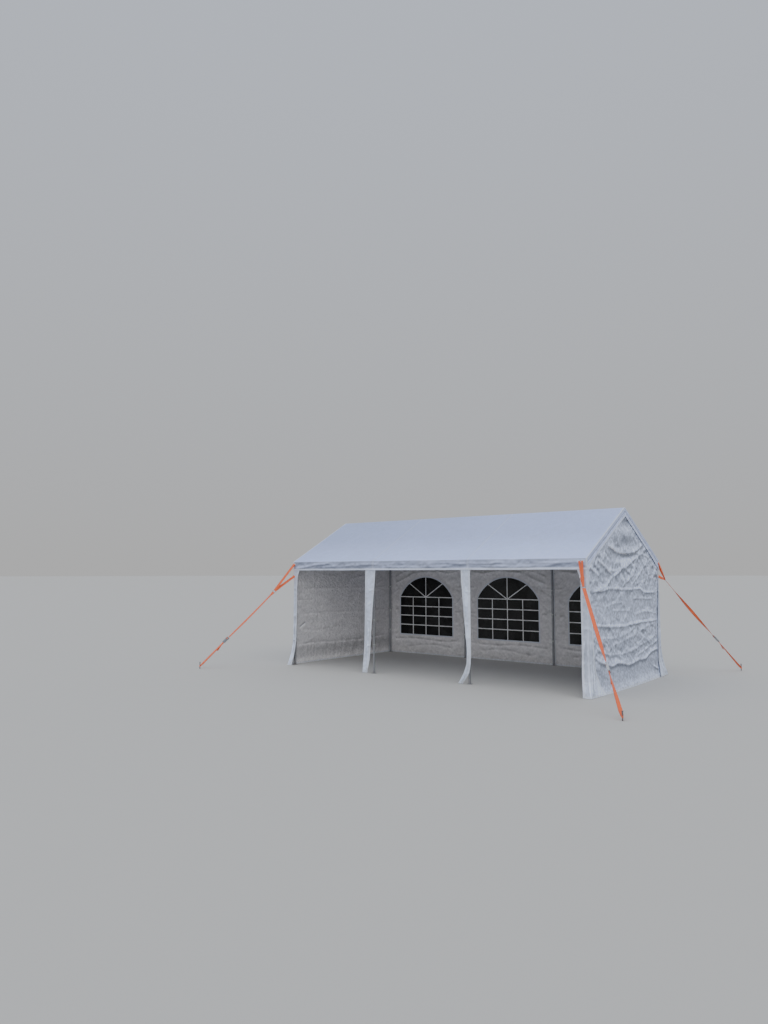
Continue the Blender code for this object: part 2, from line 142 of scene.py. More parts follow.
# Swaged joints: heights of a leg's, half the length of a tube's, and how far each swells
LEG_JOINT = (0.985, 1.075)
LEG_JOINT_SWELL = 0.0016
TUBE_JOINT = 0.045
TUBE_JOINT_SWELL = 0.0008

# A wing bolt's washer, nut and shank: height over the sleeve, sides, (radius, height),
# and how far along its sleeve the bolt sits
BOLT_PARTS = (
    (-0.002, 16, ((0.0072, 0), (0.0076, 0.0006), (0.0076, 0.0026), (0.007, 0.0034))),
    (0.0014, 6, ((0.0058, 0), (0.006, 0.0006), (0.006, 0.0044), (0.0052, 0.0052))),
    (0.006, 12, ((0.003, 0), (0.003, 0.0095), (0.0024, 0.0105))),
)
BOLT_AT = 0.07

# Heights where the sheets are tied to the legs
TIE_HEIGHTS = (0.484, 0.944, 1.43)
# Radius of the ties' cord, of their bows and knots, and of an eyelet's ring
CORD_R = 0.0021
BOW_R = 0.0019
KNOT_R = 0.0032
EYELET_R = 0.0072

# Creases of the right end wall seen from outside: points (y, z) along each,
# then how far it stands out and how far it fades above and below
RIGHT_CREASES = (
    (((-1.42, 1.47), (-0.91, 1.49), (-0.61, 1.515), (0, 1.49), (0.54, 1.49), (0.8, 1.43),
      (1.44, 1.42)), 0.01, 0.012, 0.018),
    (((-1.42, 1), (-0.71, 0.95), (-0.1, 0.93), (0.49, 0.95), (0.99, 0.95), (1.44, 0.95)),
     0.013, 0.012, 0.022),
    (((-1.25, 0.49), (-0.75, 0.37), (-0.45, 0.38), (-0.02, 0.32), (0.31, 0.35), (0.72, 0.36),
      (1.02, 0.44), (1.47, 0.46)), 0.017, 0.045, 0.014),
    (((-0.64, 1.18), (0.17, 1.15)), 0.005, 0.011, 0.014),
    (((0.25, 1.35), (1.17, 1.31)), 0.005, 0.011, 0.014),
    (((-0.8, 2.2), (-0.45, 2.09), (-0.02, 2.05), (0.45, 2.1), (0.78, 2.23)), 0.015, 0.05, 0.014),
    (((-1.32, 1.48), (-0.9, 1.53), (-0.72, 1.6), (-0.57, 1.69), (0.03, 1.86), (0.44, 2.01),
      (0.66, 2.14)), 0.013, 0.02, 0.035),
    (((-1.15, 1.96), (-0.83, 1.83), (-0.57, 1.72)), 0.01, 0.02, 0.03),
    (((-1.43, 1.86), (-1.22, 1.76), (-1.05, 1.7)), 0.009, 0.02, 0.02),
    (((-0.99, 1.92), (-0.65, 1.79), (-0.23, 1.81), (0.1, 1.93)), 0.009, 0.02, 0.03),
    (((0.2, 1.55), (0.55, 1.72), (0.95, 1.96)), 0.008, 0.02, 0.03),
    (((0.85, 1.52), (0.98, 1.7), (1.02, 1.9)), 0.007, 0.02, 0.02),
    (((-0.2, 1.52), (0.02, 1.62), (0.32, 1.72)), 0.006, 0.02, 0.02),
    (((-0.73, 0.65), (0.01, 0.73), (0.77, 0.86), (1.3, 0.9)), 0.007, 0.03, 0.05),
    (((-0.91, 0.55), (-0.2, 0.51), (0.74, 0.61), (1.34, 0.72)), 0.007, 0.03, 0.05),
    (((-1.05, 0.8), (-0.55, 0.76), (-0.1, 0.8), (0.4, 0.9)), 0.005, 0.025, 0.035),
    (((0.2, 0.42), (0.75, 0.5), (1.4, 0.62)), 0.007, 0.02, 0.03),
    (((1, 0.2), (1.29, 0.12), (1.47, 0.11)), 0.01, 0.02, 0.02),
    (((-1.2, 1.3), (-0.85, 1.25), (-0.4, 1.29), (0.05, 1.27)), 0.004, 0.014, 0.02),
    (((0.35, 1.08), (0.8, 1.12), (1.38, 1.05)), 0.004, 0.014, 0.02),
)

# The same for the left end wall, which stands out to the left
LEFT_CREASES = (
    (((-0.96, 1.85), (-0.965, 0.81)), -0.006, 0.016, 0.016),
    (((-0.85, 1.8), (-0.84, 1.2), (-0.82, 0.53)), 0.005, 0.014, 0.014),
    (((-0.43, 1.62), (-0.425, 1), (-0.42, 0.36)), -0.004, 0.015, 0.015),
    (((-1.44, 0.38), (-0.7, 0.37), (0, 0.355), (0.7, 0.35), (1.44, 0.4)), 0.009, 0.03, 0.016),
    (((-1.46, 1.22), (-0.96, 1.23)), 0.005, 0.014, 0.02),
    (((-1.44, 0.95), (-0.6, 0.96), (0.4, 0.945), (1.44, 0.95)), 0.004, 0.018, 0.02),
    (((-1.44, 1.44), (-0.5, 1.45), (0.45, 1.44), (1.44, 1.45)), 0.005, 0.018, 0.02),
    (((-0.7, 2.22), (-0.3, 2.08), (0.15, 2.04), (0.66, 2.18)), 0.01, 0.04, 0.02),
    (((-1.3, 1.9), (-0.8, 1.74), (-0.2, 1.66)), 0.006, 0.02, 0.03),
    (((1.25, 1.92), (0.7, 1.72), (0.1, 1.62)), 0.007, 0.02, 0.03),
    (((-1.38, 0.7), (-0.9, 0.62), (-0.3, 0.66)), 0.005, 0.02, 0.03),
    (((-1.41, 0.64), (-1.17, 0.78)), 0.022, 0.012, 0.012),
)

# Creases of one back wall, measured from the middle of its window
BACK_CREASES = (
    (((-0.98, 1.44), (-0.76, 1.45)), 0.005, 0.014, 0.02),
    (((0.76, 1.45), (0.98, 1.44)), 0.005, 0.014, 0.02),
    (((-0.98, 0.93), (-0.74, 0.92)), 0.006, 0.014, 0.02),
    (((0.74, 0.94), (0.98, 0.95)), 0.006, 0.014, 0.02),
    (((-0.96, 1.88), (-0.62, 1.74), (-0.25, 1.79), (0.28, 1.75), (0.57, 1.63), (0.97, 1.47)),
     0.009, 0.03, 0.03),
    (((0.2, 1.86), (0.62, 1.76), (0.96, 1.6)), 0.006, 0.02, 0.03),
    (((0.72, 1.4), (0.98, 1.25)), 0.005, 0.02, 0.02),
    (((-0.98, 1.3), (-0.78, 1.1)), 0.005, 0.02, 0.02),
    (((-0.98, 0.34), (-0.4, 0.3), (0.3, 0.33), (0.98, 0.29)), 0.008, 0.02, 0.025),
    (((-0.7, 0.17), (-0.1, 0.22), (0.55, 0.14)), 0.006, 0.02, 0.03),
)

# Folds of the valances over the open front and behind, (x, height over the hem)
VALANCE_CREASES = (
    (((-2.98, 0.03), (-2.7, 0.06), (-2.35, 0.11), (-2, 0.135)), 0.01, 0.016, 0.016),
    (((-2.4, 0.05), (-1.8, 0.075), (-1.25, 0.07)), 0.007, 0.014, 0.014),
    (((-1.6, 0.11), (-0.95, 0.1), (-0.2, 0.12)), 0.006, 0.014, 0.014),
    (((-0.8, 0.06), (0, 0.05), (0.75, 0.07)), 0.007, 0.014, 0.014),
    (((0.3, 0.12), (1.1, 0.1), (1.75, 0.115)), 0.007, 0.014, 0.014),
    (((1.15, 0.06), (1.9, 0.05), (2.55, 0.07)), 0.008, 0.014, 0.014),
    (((2.1, 0.11), (2.6, 0.1), (2.97, 0.12)), 0.007, 0.014, 0.014),
)

# Front middle leg covers from foot to top: height as a share of the cover's
# own, left and right edge from the leg, how far each edge stands out
MIDDLE_COVERS = {
    "left": (
        (0.005, -0.192, -0.104, 0.06, 0.03),
        (0.1, -0.184, -0.064, 0.044, 0.026),
        (0.23, -0.174, -0.036, 0.03, 0.022),
        (0.47, -0.172, 0, 0.016, 0.03),
        (0.67, -0.175, 0.023, 0.006, 0.018),
        (0.9, -0.176, 0.049, 0, 0),
        (1, -0.162, 0.049, 0, 0),
    ),
    "right": (
        (0.005, -0.164, -0.076, 0.05, 0.06),
        (0.09, -0.06, 0.03, 0.052, 0.04),
        (0.15, -0.01, 0.056, 0.056, 0.03),
        (0.22, 0.006, 0.06, 0.056, 0.022),
        (0.46, -0.035, 0.052, 0.04, 0.012),
        (0.67, -0.085, 0.046, 0.018, 0.004),
        (0.9, -0.13, 0.042, 0, 0),
        (1, -0.13, 0.042, 0, 0),
    ),
}

# Width of a corner cover's leg on the end wall, (height, width)
END_COVER_WIDTHS = ((0, 0.34), (0.12, 0.27), (0.3, 0.2), (0.5, 0.16), (0.95, 0.135), (1.3, 0.09),
                    (1.5, 0.066), (1.9, 0.062))

# Straps, as in the frame: sides, ring and peg measured out from the corner
STRAPS = {
    "front_right": ((1, -1), (-0.015, 0.1, 0.415), (0.955, 1.271)),
    "front_left": ((-1, -1), (0.189, 0.324, 0.567), (0.876, 1.504)),
    "back_right": ((1, 1), (0.07, 0.105, 0.345), (0.92, 1.43)),
    "back_left": ((-1, 1), (0.13, 0.2, 0.465), (0.955, 1.504)),
}
# Where the loops come out, (axis across that face, distance from the corner),
# first the two at the eave and then the two under the valance
BOTH_FACES = (("y", 0.03), ("x", 0.03), ("y", 0.026), ("x", 0.026))
LOOPS = {"front_right": (("y", 0.118), ("y", 0.074), ("y", 0.095), ("y", 0.058)),
         "front_left": BOTH_FACES, "back_right": BOTH_FACES, "back_left": BOTH_FACES}
LOOP_WIDTHS = {"front_right": 0.62, "front_left": 0.96, "back_right": 0.8, "back_left": 0.9}
# How far the webbing is turned about its run, (share of the run, angle)
TWISTS = {
    "front_right": ((0, -0.1), (0.45, -0.2), (0.63, 1.1), (0.7, 1.1), (1, -0.3)),
    "front_left": ((0, 1.3), (0.05, 0.3), (0.4, 0.45), (0.63, 0.3), (1, 0.45)),
    "back_right": ((0, -0.5), (0.12, -0.4), (0.35, 0.9), (0.6, -0.45), (0.7, -0.45), (1, 0.2)),
    "back_left": ((0, 0.5), (0.45, 0.1), (0.63, 0.3), (1, 0.1)),
}
PEG_TIE_Z = 0.05
PEG_R = 0.008
PEG_H = 0.12
# The peg's turned outline, (radius, height)
PEG_PROFILE = (
    (0.0076, 0), (PEG_R, 0.002), (PEG_R, 0.088), (0.0092, 0.092), (0.0092, 0.098), (PEG_R, 0.101),
    (PEG_R, PEG_H - 0.0085), (0.0118, PEG_H - 0.0078), (0.0138, PEG_H - 0.0055),
    (0.0139, PEG_H - 0.0022), (0.012, PEG_H - 0.0004), (0.006, PEG_H),
)
# A ratchet's middle as a share of the run, its length, and its axles:
# place along the strap, height over it, radius
RATCHET_AT = 0.66
RATCHET_L = 0.16
RATCHET_AXLES = (
    (-0.03, 0, 0.0058), (-0.056, 0, 0.0042), (0.052, 0, 0.0042), (0.066, 0.014, 0.006),
)
# From one stitch to the next
STITCH = 0.0048

# The photograph's camera: place, its turns in radians, and lens
CAMERA_PLACE = (7.3386, -11.3922, 1.7581)
CAMERA_YAW = -0.6843
CAMERA_PITCH = 0.0828
CAMERA_ROLL = -0.0009
CAMERA_LENS = 25.62

FLOOR_R = 400


class MarqueeSizes(bpy.types.PropertyGroup):
    sheet_thickness: FloatProperty(
        name="Sheet thickness", description="Thickness of the coated sheeting",
        default=0.0012, min=0.0004, max=0.003, unit="LENGTH")
    roof_sag: FloatProperty(
        name="Roof sag", description="How far the roof sheet hangs between two rafters",
        default=0.014, min=0, max=0.05, unit="LENGTH")
    crumple: FloatProperty(
        name="Crumple", description="Depth of the small folds in the walls",
        default=0.012, min=0, max=0.03, unit="LENGTH")
    wall_step: FloatProperty(
        name="Wall step", description="Distance between the points of a wall sheet",
        default=0.0165, min=0.008, max=0.05, unit="LENGTH")
    roof_step: FloatProperty(
        name="Roof step", description="Distance between the points of the roof sheet",
        default=0.028, min=0.012, max=0.08, unit="LENGTH")
    hem: FloatProperty(
        name="Hem", description="Width of the welded hems", default=0.03, unit="LENGTH")
    bar_width: FloatProperty(
        name="Window bar", description="Width of the strips across a window",
        default=0.018, unit="LENGTH")
    strap_width: FloatProperty(
        name="Strap width", description="Width of the strap webbing", default=0.05, unit="LENGTH")
    strap_thickness: FloatProperty(
        name="Strap thickness", description="Thickness of the strap webbing",
        default=0.0024, unit="LENGTH")
    tube_sides: IntProperty(
        name="Tube sides", description="Number of sides of each steel tube", default=32, min=12)


class MarqueeColours(bpy.types.PropertyGroup):
    # The sheeting's blue is partly painted sky light; the material tints inner faces warmer.
    roof: FloatVectorProperty(
        name="Roof", description="Roof sheeting", subtype="COLOR", size=3,
        default=(0.5, 0.6, 0.93))
    wall: FloatVectorProperty(
        name="Walls", description="Wall sheeting", subtype="COLOR", size=3,
        default=(0.62, 0.69, 0.88))
    trim: FloatVectorProperty(
        name="Trim", description="Hems, window bars and ties", subtype="COLOR", size=3,
        default=(0.82, 0.87, 0.96))
    cover: FloatVectorProperty(
        name="Leg covers", description="Sheeting of the leg covers", subtype="COLOR", size=3,
        default=(0.7, 0.78, 0.96))
    # Near black: the dark view through the clear film, painted on.
    film: FloatVectorProperty(
        name="Window film", description="Clear film with the dark behind", subtype="COLOR", size=3,
        default=(0.01, 0.01, 0.0095))
    webbing: FloatVectorProperty(
        name="Webbing", description="Strap webbing", subtype="COLOR", size=3,
        default=(1, 0.17, 0.05))
    steel: FloatVectorProperty(
        name="Steel", description="Galvanised tube", subtype="COLOR", size=3,
        default=(0.33, 0.34, 0.36))


class MarqueeStage(bpy.types.PropertyGroup):
    floor: FloatVectorProperty(
        name="Floor", description="Plain floor of the stage", subtype="COLOR", size=3,
        default=(0.58, 0.57, 0.54))
    sky_strength: FloatProperty(
        name="Sky", description="Brightness of the soft dome", default=1, min=0)
    key_strength: FloatProperty(
        name="Key light", description="Strength of the soft lights", default=0.7, min=0)


def sizes():
    return bpy.context.scene.marquee_sizes


def colours():
    return bpy.context.scene.marquee_colours


# Small mathematics for cloth

def spread(low, high, step):
    """Evenly spaced values from low to high, about step apart."""
    return np.linspace(low, high, max(2, round((high - low) / step) + 1))


def even(count):
    """Evenly spaced shares from 0 to 1."""
    return np.linspace(0, 1, count)


def crossed(first, second):
    """Two rows of values as fields over the grid that they span."""
    return np.meshgrid(first, second, indexing="ij")


def hump(*spans):
    """A round hill from (value, centre, width): 1 at its middle, falling to 0 around it."""
    return np.exp(-sum(((value - centre) / width) ** 2 for value, centre, width in spans))


def smooth(low, high, value):
    """0 below low and 1 above high, with an even turn between."""
    t = np.clip((value - low) / (high - low), 0, 1)
    return t * t * (3 - 2 * t)


def lattice(i, j, seed):
    """A repeatable number from 0 to 1 for each point of a lattice."""
    n = (i * 374761393 + j * 668265263 + seed * 362437) & 0xFFFFFFFF
    n = ((n ^ (n >> 13)) * 1274126177) & 0xFFFFFFFF
    return ((n ^ (n >> 16)) & 0xFFFFFF) / 0x1000000


def ripple(u, v, seed):
    """Smooth random waves one unit long, from about -0.7 to 0.7."""
    i, j = np.floor(u).astype(np.int64), np.floor(v).astype(np.int64)
    fu, fv = u - i, v - j

    def slope_at(a, b):
        turn = 2 * np.pi * lattice(i + a, j + b, seed)
        return np.cos(turn) * (fu - a) + np.sin(turn) * (fv - b)

    su = fu ** 3 * (fu * (6 * fu - 15) + 10)
    sv = fv ** 3 * (fv * (6 * fv - 15) + 10)
    low = slope_at(0, 0) + su * (slope_at(1, 0) - slope_at(0, 0))
    high = slope_at(0, 1) + su * (slope_at(1, 1) - slope_at(0, 1))
    return low + sv * (high - low)


def borders(u, v, seed):
    """Straight ridges between random cells one unit wide: 1 on a border, 0 away from it."""
    i, j = np.floor(u).astype(np.int64), np.floor(v).astype(np.int64)
    nearest, second = np.full(np.shape(u), 9.0), np.full(np.shape(u), 9.0)
    for a in (-1, 0, 1):
        for b in (-1, 0, 1):
            away = np.hypot(i + a + lattice(i + a, j + b, seed) - u,
                            j + b + lattice(i + a, j + b, seed + 17) - v)
            second = np.minimum(second, np.maximum(nearest, away))
            nearest = np.minimum(nearest, away)
    return np.clip(1 - 2.2 * (second - nearest), 0, 1)


def crumple(u, v, seed, scales=((0.46, 1), (0.22, 0.75), (0.1, 0.28))):
    """Creased facets: sharp straight valleys and crests at several scales, about -1 to 1."""
    bend = 0.05 * ripple(u / 0.3, v / 0.3, seed + 71)
    total = 0
    for k, (scale, share) in enumerate(scales):
        crest = borders((u + bend) / scale, (v - bend) / scale, seed + 2 * k)
        valley = borders((u - bend) / scale + 9.3, (v + bend) / scale, seed + 2 * k + 1)
        strength = 0.6 + 0.8 * ripple(u / (1.3 * scale), v / (1.3 * scale), seed + 40 + k)
        total = total + share * (crest - valley) * strength
    return total


def curved(path, steps=6):
    """More points on a smooth line through the given ones."""
    points = [np.array(p, float) for p in path]
    if len(points) < 3:
        return points
    ends = [2 * points[0] - points[1]] + points + [2 * points[-1] - points[-2]]
    line = [points[0]]
    for a, b, c, d in zip(ends, ends[1:], ends[2:], ends[3:]):
        for t in even(steps + 1)[1:]:
            line.append(0.5 * (2 * b + (c - a) * t + (2 * a - 5 * b + 4 * c - d) * t ** 2
                               + (3 * b - a - 3 * c + d) * t ** 3))
    return line


def beside(u, v, line):
    """Distance to a bent line, the side of it, and the share of its length passed."""
    best = np.full(np.shape(u), np.inf)
    side, reach = np.zeros_like(best), np.zeros_like(best)
    pieces = [np.linalg.norm(b - a) for a, b in zip(line, line[1:])]
    done = 0
    for a, b, size in zip(line, line[1:], pieces):
        du, dv = b - a
        t = np.clip(((u - a[0]) * du + (v - a[1]) * dv) / size ** 2, 0, 1)
        away = np.hypot(u - a[0] - t * du, v - a[1] - t * dv)
        closer = away < best
        best = np.where(closer, away, best)
        side = np.where(closer, np.sign(du * (v - a[1]) - dv * (u - a[0])), side)
        reach = np.where(closer, (done + t * size) / sum(pieces), reach)
        done += size
    return best, side, reach


def creases(u, v, table, seed):
    """Sharp folds along the table's paths, highest in the middle of each."""
    total = np.zeros(np.shape(u))
    for k, (path, height, above, below) in enumerate(table):
        line = curved(path)
        along = np.linalg.norm(line[-1] - line[0])
        low, high = np.min(line, axis=0) - 0.2, np.max(line, axis=0) + 0.2
        near = (u > low[0]) & (u < high[0]) & (v > low[1]) & (v < high[1])
        wander = 0.012 * ripple(u[near] / 0.16, v[near] / 0.16, seed + k)
        away, side, reach = beside(u[near], v[near] + wander, line)
        width = np.where(side > 0, above, below)
        strength = 0.75 + 0.8 * ripple(reach * along / 0.18, 0 * reach + k, seed + k)
        ends = smooth(0, 0.1, reach) * smooth(0, 0.1, 1 - reach)
        total[near] += 1.3 * height * strength * ends * np.exp(-away / width)
    return total


def units(vectors):
    return vectors / np.linalg.norm(vectors, axis=-1, keepdims=True)


def facings(grid):
    """The direction square to the surface at each point of a grid."""
    return units(np.cross(np.gradient(grid, axis=0), np.gradient(grid, axis=1)))


def length_along(line):
    """How far along the line each of its points lies."""
    return np.concatenate([[0], np.cumsum(np.linalg.norm(np.diff(line, axis=0), axis=1))])


def averaged(field, reach):
    """A field's mean over a square around each point, even near its edges."""
    for axis in (0, 1):
        pads = [(0, 0)] * field.ndim
        pads[axis] = (reach, reach)
        wide = np.pad(field, pads, mode="reflect", reflect_type="odd")
        total = 0
        for k in range(2 * reach + 1):
            total = total + np.take(wide, range(k, k + field.shape[axis]), axis=axis)
        field = total / (2 * reach + 1)
    return field


# Meshes

def square_to(axis):
    """The axis as a unit and two directions square to it."""
    axis = Vector(axis).normalized()
    across = axis.orthogonal().normalized()
    return axis, across, axis.cross(across)


def turns(count):
    """Angles of a closed ring's points."""
    return np.linspace(0, 2 * math.pi, count + 1)[:-1]


def arc(centre, radius, across, third, angles):
    """Points round a centre, in the plane of two directions."""
    return [centre + radius * (math.cos(t) * across + math.sin(t) * third) for t in angles]


def band(a, b, sides):
    """Faces between two rings of points, the first from point a and the second from b."""
    return [(a + k, a + (k + 1) % sides, b + (k + 1) % sides, b + k) for k in range(sides)]


class Shape:
    """Points and faces gathered for one mesh."""

    def __init__(self):
        self.points = []
        self.faces = []
        self.values = {}

    def add(self, points, faces, **values):
        start = len(self.points)
        self.points += [tuple(float(c) for c in p) for p in points]
        self.faces += [tuple(start + k for k in face) for face in faces]
        for name, found in values.items():
            self.values.setdefault(name, []).extend(found)

    def box(self, centre, size, axes=((1, 0, 0), (0, 1, 0), (0, 0, 1)), bevel=0):
        """A block with its upright edges cut off by the bevel."""
        centre, (a, b, c) = Vector(centre), (Vector(axis) for axis in axes)
        x, y, z = (s / 2 for s in size)
        cut = min(bevel, x, y)
        outline = [(x, y - cut), (x - cut, y), (cut - x, y), (-x, y - cut),
                   (-x, cut - y), (cut - x, -y), (x - cut, -y), (x, cut - y)]
        if not cut:
            outline = outline[::2]
        self.prism([centre + a * u + b * v - c * z for u, v in outline], c * 2 * z)

    def prism(self, outline, reach):
        """A flat outline, given against the reach's clock, made thick along it."""
        count = len(outline)
        points = list(outline) + [Vector(p) + Vector(reach) for p in outline]
        ends = [tuple(reversed(range(count))), tuple(range(count, 2 * count))]
        self.add(points, ends + band(0, count, count))

    def loft(self, points, sides, closed=False):
        """Rings of points joined one to the next, with flat ends or closed on itself."""
        count = len(points)
        faces = []
        for start in range(0, count if closed else count - sides, sides):
            faces += band(start, (start + sides) % count, sides)
        if not closed:
            faces += [tuple(reversed(range(sides))), tuple(range(count - sides, count))]
        self.add(points, faces)

    def turned(self, base, axis, profile, sides):
        """A solid of revolution: (radius, height) pairs from end to end."""
        axis, across, third = square_to(axis)
        angles = [2 * math.pi * k / sides for k in range(sides)]
        points = []
        for radius, height in profile:
            points += arc(Vector(base) + axis * height, radius, across, third, angles)
        self.loft(points, sides)

    def pipe(self, path, radius, sides, closed=False):
        """A round bar along a path of points, with one radius or one for each point."""
        path = [Vector(p) for p in path]
        radii = radius if hasattr(radius, "__len__") else [radius] * len(path)
        angles = [2 * math.pi * k / sides for k in range(sides)]
        count, points = len(path), []
        across = None
        for k, point in enumerate(path):
            ahead = path[(k + 1) % count] if closed else path[min(k + 1, count - 1)]
            along = (ahead - path[k - 1 if closed else max(k - 1, 0)]).normalized()
            across = along.orthogonal() if across is None else across - along * across.dot(along)
            across = across.normalized()
            points += arc(point, radii[k], across, along.cross(across), angles)
        self.loft(points, sides, closed)

    def sheet(self, grid, thickness, tone=0, base=None, painted_warm_light=0, **values):
        """A thin closed sheet around a grid of middle points, top side along d0 x d1.

        Its fold value is over 0.5 on crests and where it faces up more than around it,
        or more than the base, which is how far the sheet without its folds faces up.
        Its inside value, 1 on the inner half, takes the blue off where it doesn't face the sky.
        """
        rows, columns = grid.shape[:2]
        normal = facings(grid)
        count = rows * columns
        # Painted shade and highlight from the relief; the inner face gets it reversed and weaker.
        if min(rows, columns) > 9:
            if base is None:
                near, far = averaged(normal, 8), averaged(normal, 26)
                tilt = (1.5 * (normal - near) + 1.1 * (normal - far))[:, :, 2]
            else:
                tilt = 2.2 * (normal[:, :, 2] - base)
            crest = np.clip(48 * np.sum((grid - averaged(grid, 2)) * normal, axis=2), -0.3, 0.35)
            folds = [np.clip(0.5 + gain * (tilt + crest) + tone, 0, 1).ravel()
                     for gain in (1, -0.55)]
        else:
            folds = [np.full(count, 0.5)] * 2
        outer = (grid + normal * thickness / 2).reshape(-1, 3)
        inner = (grid - normal * thickness / 2).reshape(-1, 3)
        n = np.arange(count).reshape(rows, columns)
        # Painted sky light: the inner half, and the outer half as far as the caller asks, get a
        # warmer tint.
        inside = np.concatenate([np.broadcast_to(painted_warm_light, (rows, columns)).ravel(), np.ones(count)])
        quads = np.stack([n[:-1, :-1], n[1:, :-1], n[1:, 1:], n[:-1, 1:]], -1).reshape(-1, 4)
        edge = np.concatenate([n[:, 0], n[-1, 1:], n[-2::-1, -1], n[0, -2:0:-1]])
        after = np.roll(edge, -1)
        rim = np.stack([after, edge, edge + count, after + count], -1)
        faces = np.concatenate([quads, quads[:, ::-1] + count, rim])
        values = {name: np.concatenate([np.ravel(found)] * 2) for name, found in values.items()}
        values.update(fold=np.concatenate(folds), inside=inside)
        self.add(np.concatenate([outer, inner]), faces.tolist(),
                 **{name: found.tolist() for name, found in values.items()})

    def make(self, name, material, sharp=40):
        mesh = bpy.data.meshes.new(name)
        mesh.from_pydata(self.points, [], self.faces)
        for key, found in self.values.items():
            mesh.attributes.new(key, "FLOAT", "POINT").data.foreach_set("value", found)
        mesh.materials.append(material)
        mesh.shade_smooth()
        mesh.set_sharp_from_angle(angle=math.radians(sharp))
        item = bpy.data.objects.new(name, mesh)
        bpy.context.collection.objects.link(item)
        return item


def combine(base, others, operation):
    """Join or cut solids with an applied Boolean, keeping the base's own object."""
    for other in others:
        step = base.modifiers.new(operation.lower(), "BOOLEAN")
        step.operation = operation
        step.solver = "EXACT"
        step.object = other
    shaped = base.evaluated_get(bpy.context.evaluated_depsgraph_get())
    mesh = bpy.data.meshes.new_from_object(shaped)
    base.modifiers.clear()
    base.data = mesh
    for other in others:
        bpy.data.objects.remove(other)
    return base


def finish_piece(item, slot, *nodes):
    """The piece rides on the tent, takes its slot and stands for these nodes."""
    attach(item, "root")
    if nodes:
        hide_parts(*nodes)
    return item


def make_piece(shape, name, material, slot, *nodes, sharp=40):
    return finish_piece(shape.make(name, finish(material), sharp), slot, *nodes)


def cloth_piece(name, grid, u, v, edge, material, slot, nodes=(), seam=None, tone=0,
                base=None, painted_warm_light=0):
    """One sheet as a piece, with its cloth coordinates and distance to its hem."""
    shape = Shape()
    seam = np.ones_like(u) if seam is None else seam
    shape.sheet(grid, sizes().sheet_thickness, tone, base, painted_warm_light, cloth_u=u, cloth_v=v, hem=edge,
                seam=seam)
    return make_piece(shape, name, material, slot, *nodes, sharp=55)


# Materials

class Wiring:
    """A node tree that is being wired, and the coordinates of what it paints."""

    def __init__(self, tree):
        self.tree = tree
        self.place = None

    def connect(self, socket, value):
        """Feed a socket with a value, a colour or another node's output."""
        if isinstance(value, Output):
            self.tree.links.new(value.socket, socket)
        elif socket.type == "RGBA":
            socket.default_value = (*value[:3], 1)
        else:
            socket.default_value = value

    def fill(self, node, **inputs):
        """Feed a node's inputs, _2 meaning the third, and give its outputs by name."""
        for name, value in inputs.items():
            key = int(name[1:]) if name[0] == "_" else name.replace("_", " ")
            self.connect(node.inputs[key], value)
        return {key: Output(self, socket) for socket in node.outputs
                for key in (socket.name, socket.identifier)}

    def add(self, kind, settings=None, **inputs):
        """A new node with these settings and inputs."""
        node = self.tree.nodes.new("ShaderNode" + kind)
        for key, value in (settings or {}).items():
            setattr(node, key, value)
        return self.fill(node, **inputs)

    def group(self, group, **inputs):
        return self.add("Group", {"node_tree": group()}, **inputs)

    def mix(self, factor, first, second, mode="MIX"):
        return self.add("Mix", {"data_type": "RGBA", "blend_type": mode}, _0=factor, _6=first,
                        _7=second)["Result_Color"]

    def noise(self, scale, detail=2, roughness=0.5, distortion=0, place=None):
        return self.add("TexNoise", Vector=place or self.place, Scale=scale, Detail=detail,
                        Roughness=roughness, Distortion=distortion)["Fac"]

    def attribute(self, name):
        return self.add("Attribute", {"attribute_name": name})["Fac"]


class Output:
    """A node's output that can be reckoned with: each sign adds a Math node."""

    def __init__(self, wiring, socket):
        self.wiring = wiring
        self.socket = socket

    def math(self, operation, *others):
        inputs = {f"_{k}": value for k, value in enumerate((self, *others))}
        return self.wiring.add("Math", {"operation": operation}, **inputs)["Value"]

    __add__ = partialmethod(math, "ADD")
    __sub__ = partialmethod(math, "SUBTRACT")
    __mul__ = partialmethod(math, "MULTIPLY")
    __truediv__ = partialmethod(math, "DIVIDE")
    __pow__ = partialmethod(math, "POWER")
    __abs__ = partialmethod(math, "ABSOLUTE")

    def rise(self, low, high, bottom=0, top=1):
        """The value carried from one range to another, without going past its ends."""
        return self.wiring.add("MapRange", Value=self, From_Min=low, From_Max=high, To_Min=bottom,
                               To_Max=top)["Result"]


def shared_group(name, inputs, outputs):
    """Turn a function that wires a group's inside into one that makes the group once.

    The inputs are (name, kind, default) and the outputs all floats.
    """
    def wrap(wire):
        def group():
            if name in bpy.data.node_groups:
                return bpy.data.node_groups[name]
            tree = bpy.data.node_groups.new(name, "ShaderNodeTree")
            for label, kind, value in inputs:
                socket = tree.interface.new_socket(label, in_out="INPUT",
                                                   socket_type="NodeSocket" + kind)
                if value is not None:
                    socket.default_value = value
            for label in outputs:
                tree.interface.new_socket(label, in_out="OUTPUT", socket_type="NodeSocketFloat")
            paint = Wiring(tree)
            given = paint.fill(tree.nodes.new("NodeGroupInput"))
            paint.place = given.get("Place")
            found = wire(paint, *(given[label] for label, _, _ in inputs))
            put = tree.nodes.new("NodeGroupOutput").inputs
            for label, value in zip(outputs, found):
                paint.connect(put[label], value)
            return tree
        group.__doc__ = wire.__doc__
        return group
    return wrap


@shared_group("Crossed weave",
              (("Along", "Float", 0), ("Across", "Float", 0), ("Pitch", "Float", 0.003)),
              ("Height", "Thread"))
def weave_group(paint, along, across, pitch):
    """Crossed tapes of woven sheeting or webbing: height and a thread mask."""
    first, second = (abs((place / pitch * (2 * math.pi)).math("SINE")) for place in (along, across))
    return first.math("MAXIMUM", second), (first * second).rise(0, 0.7)


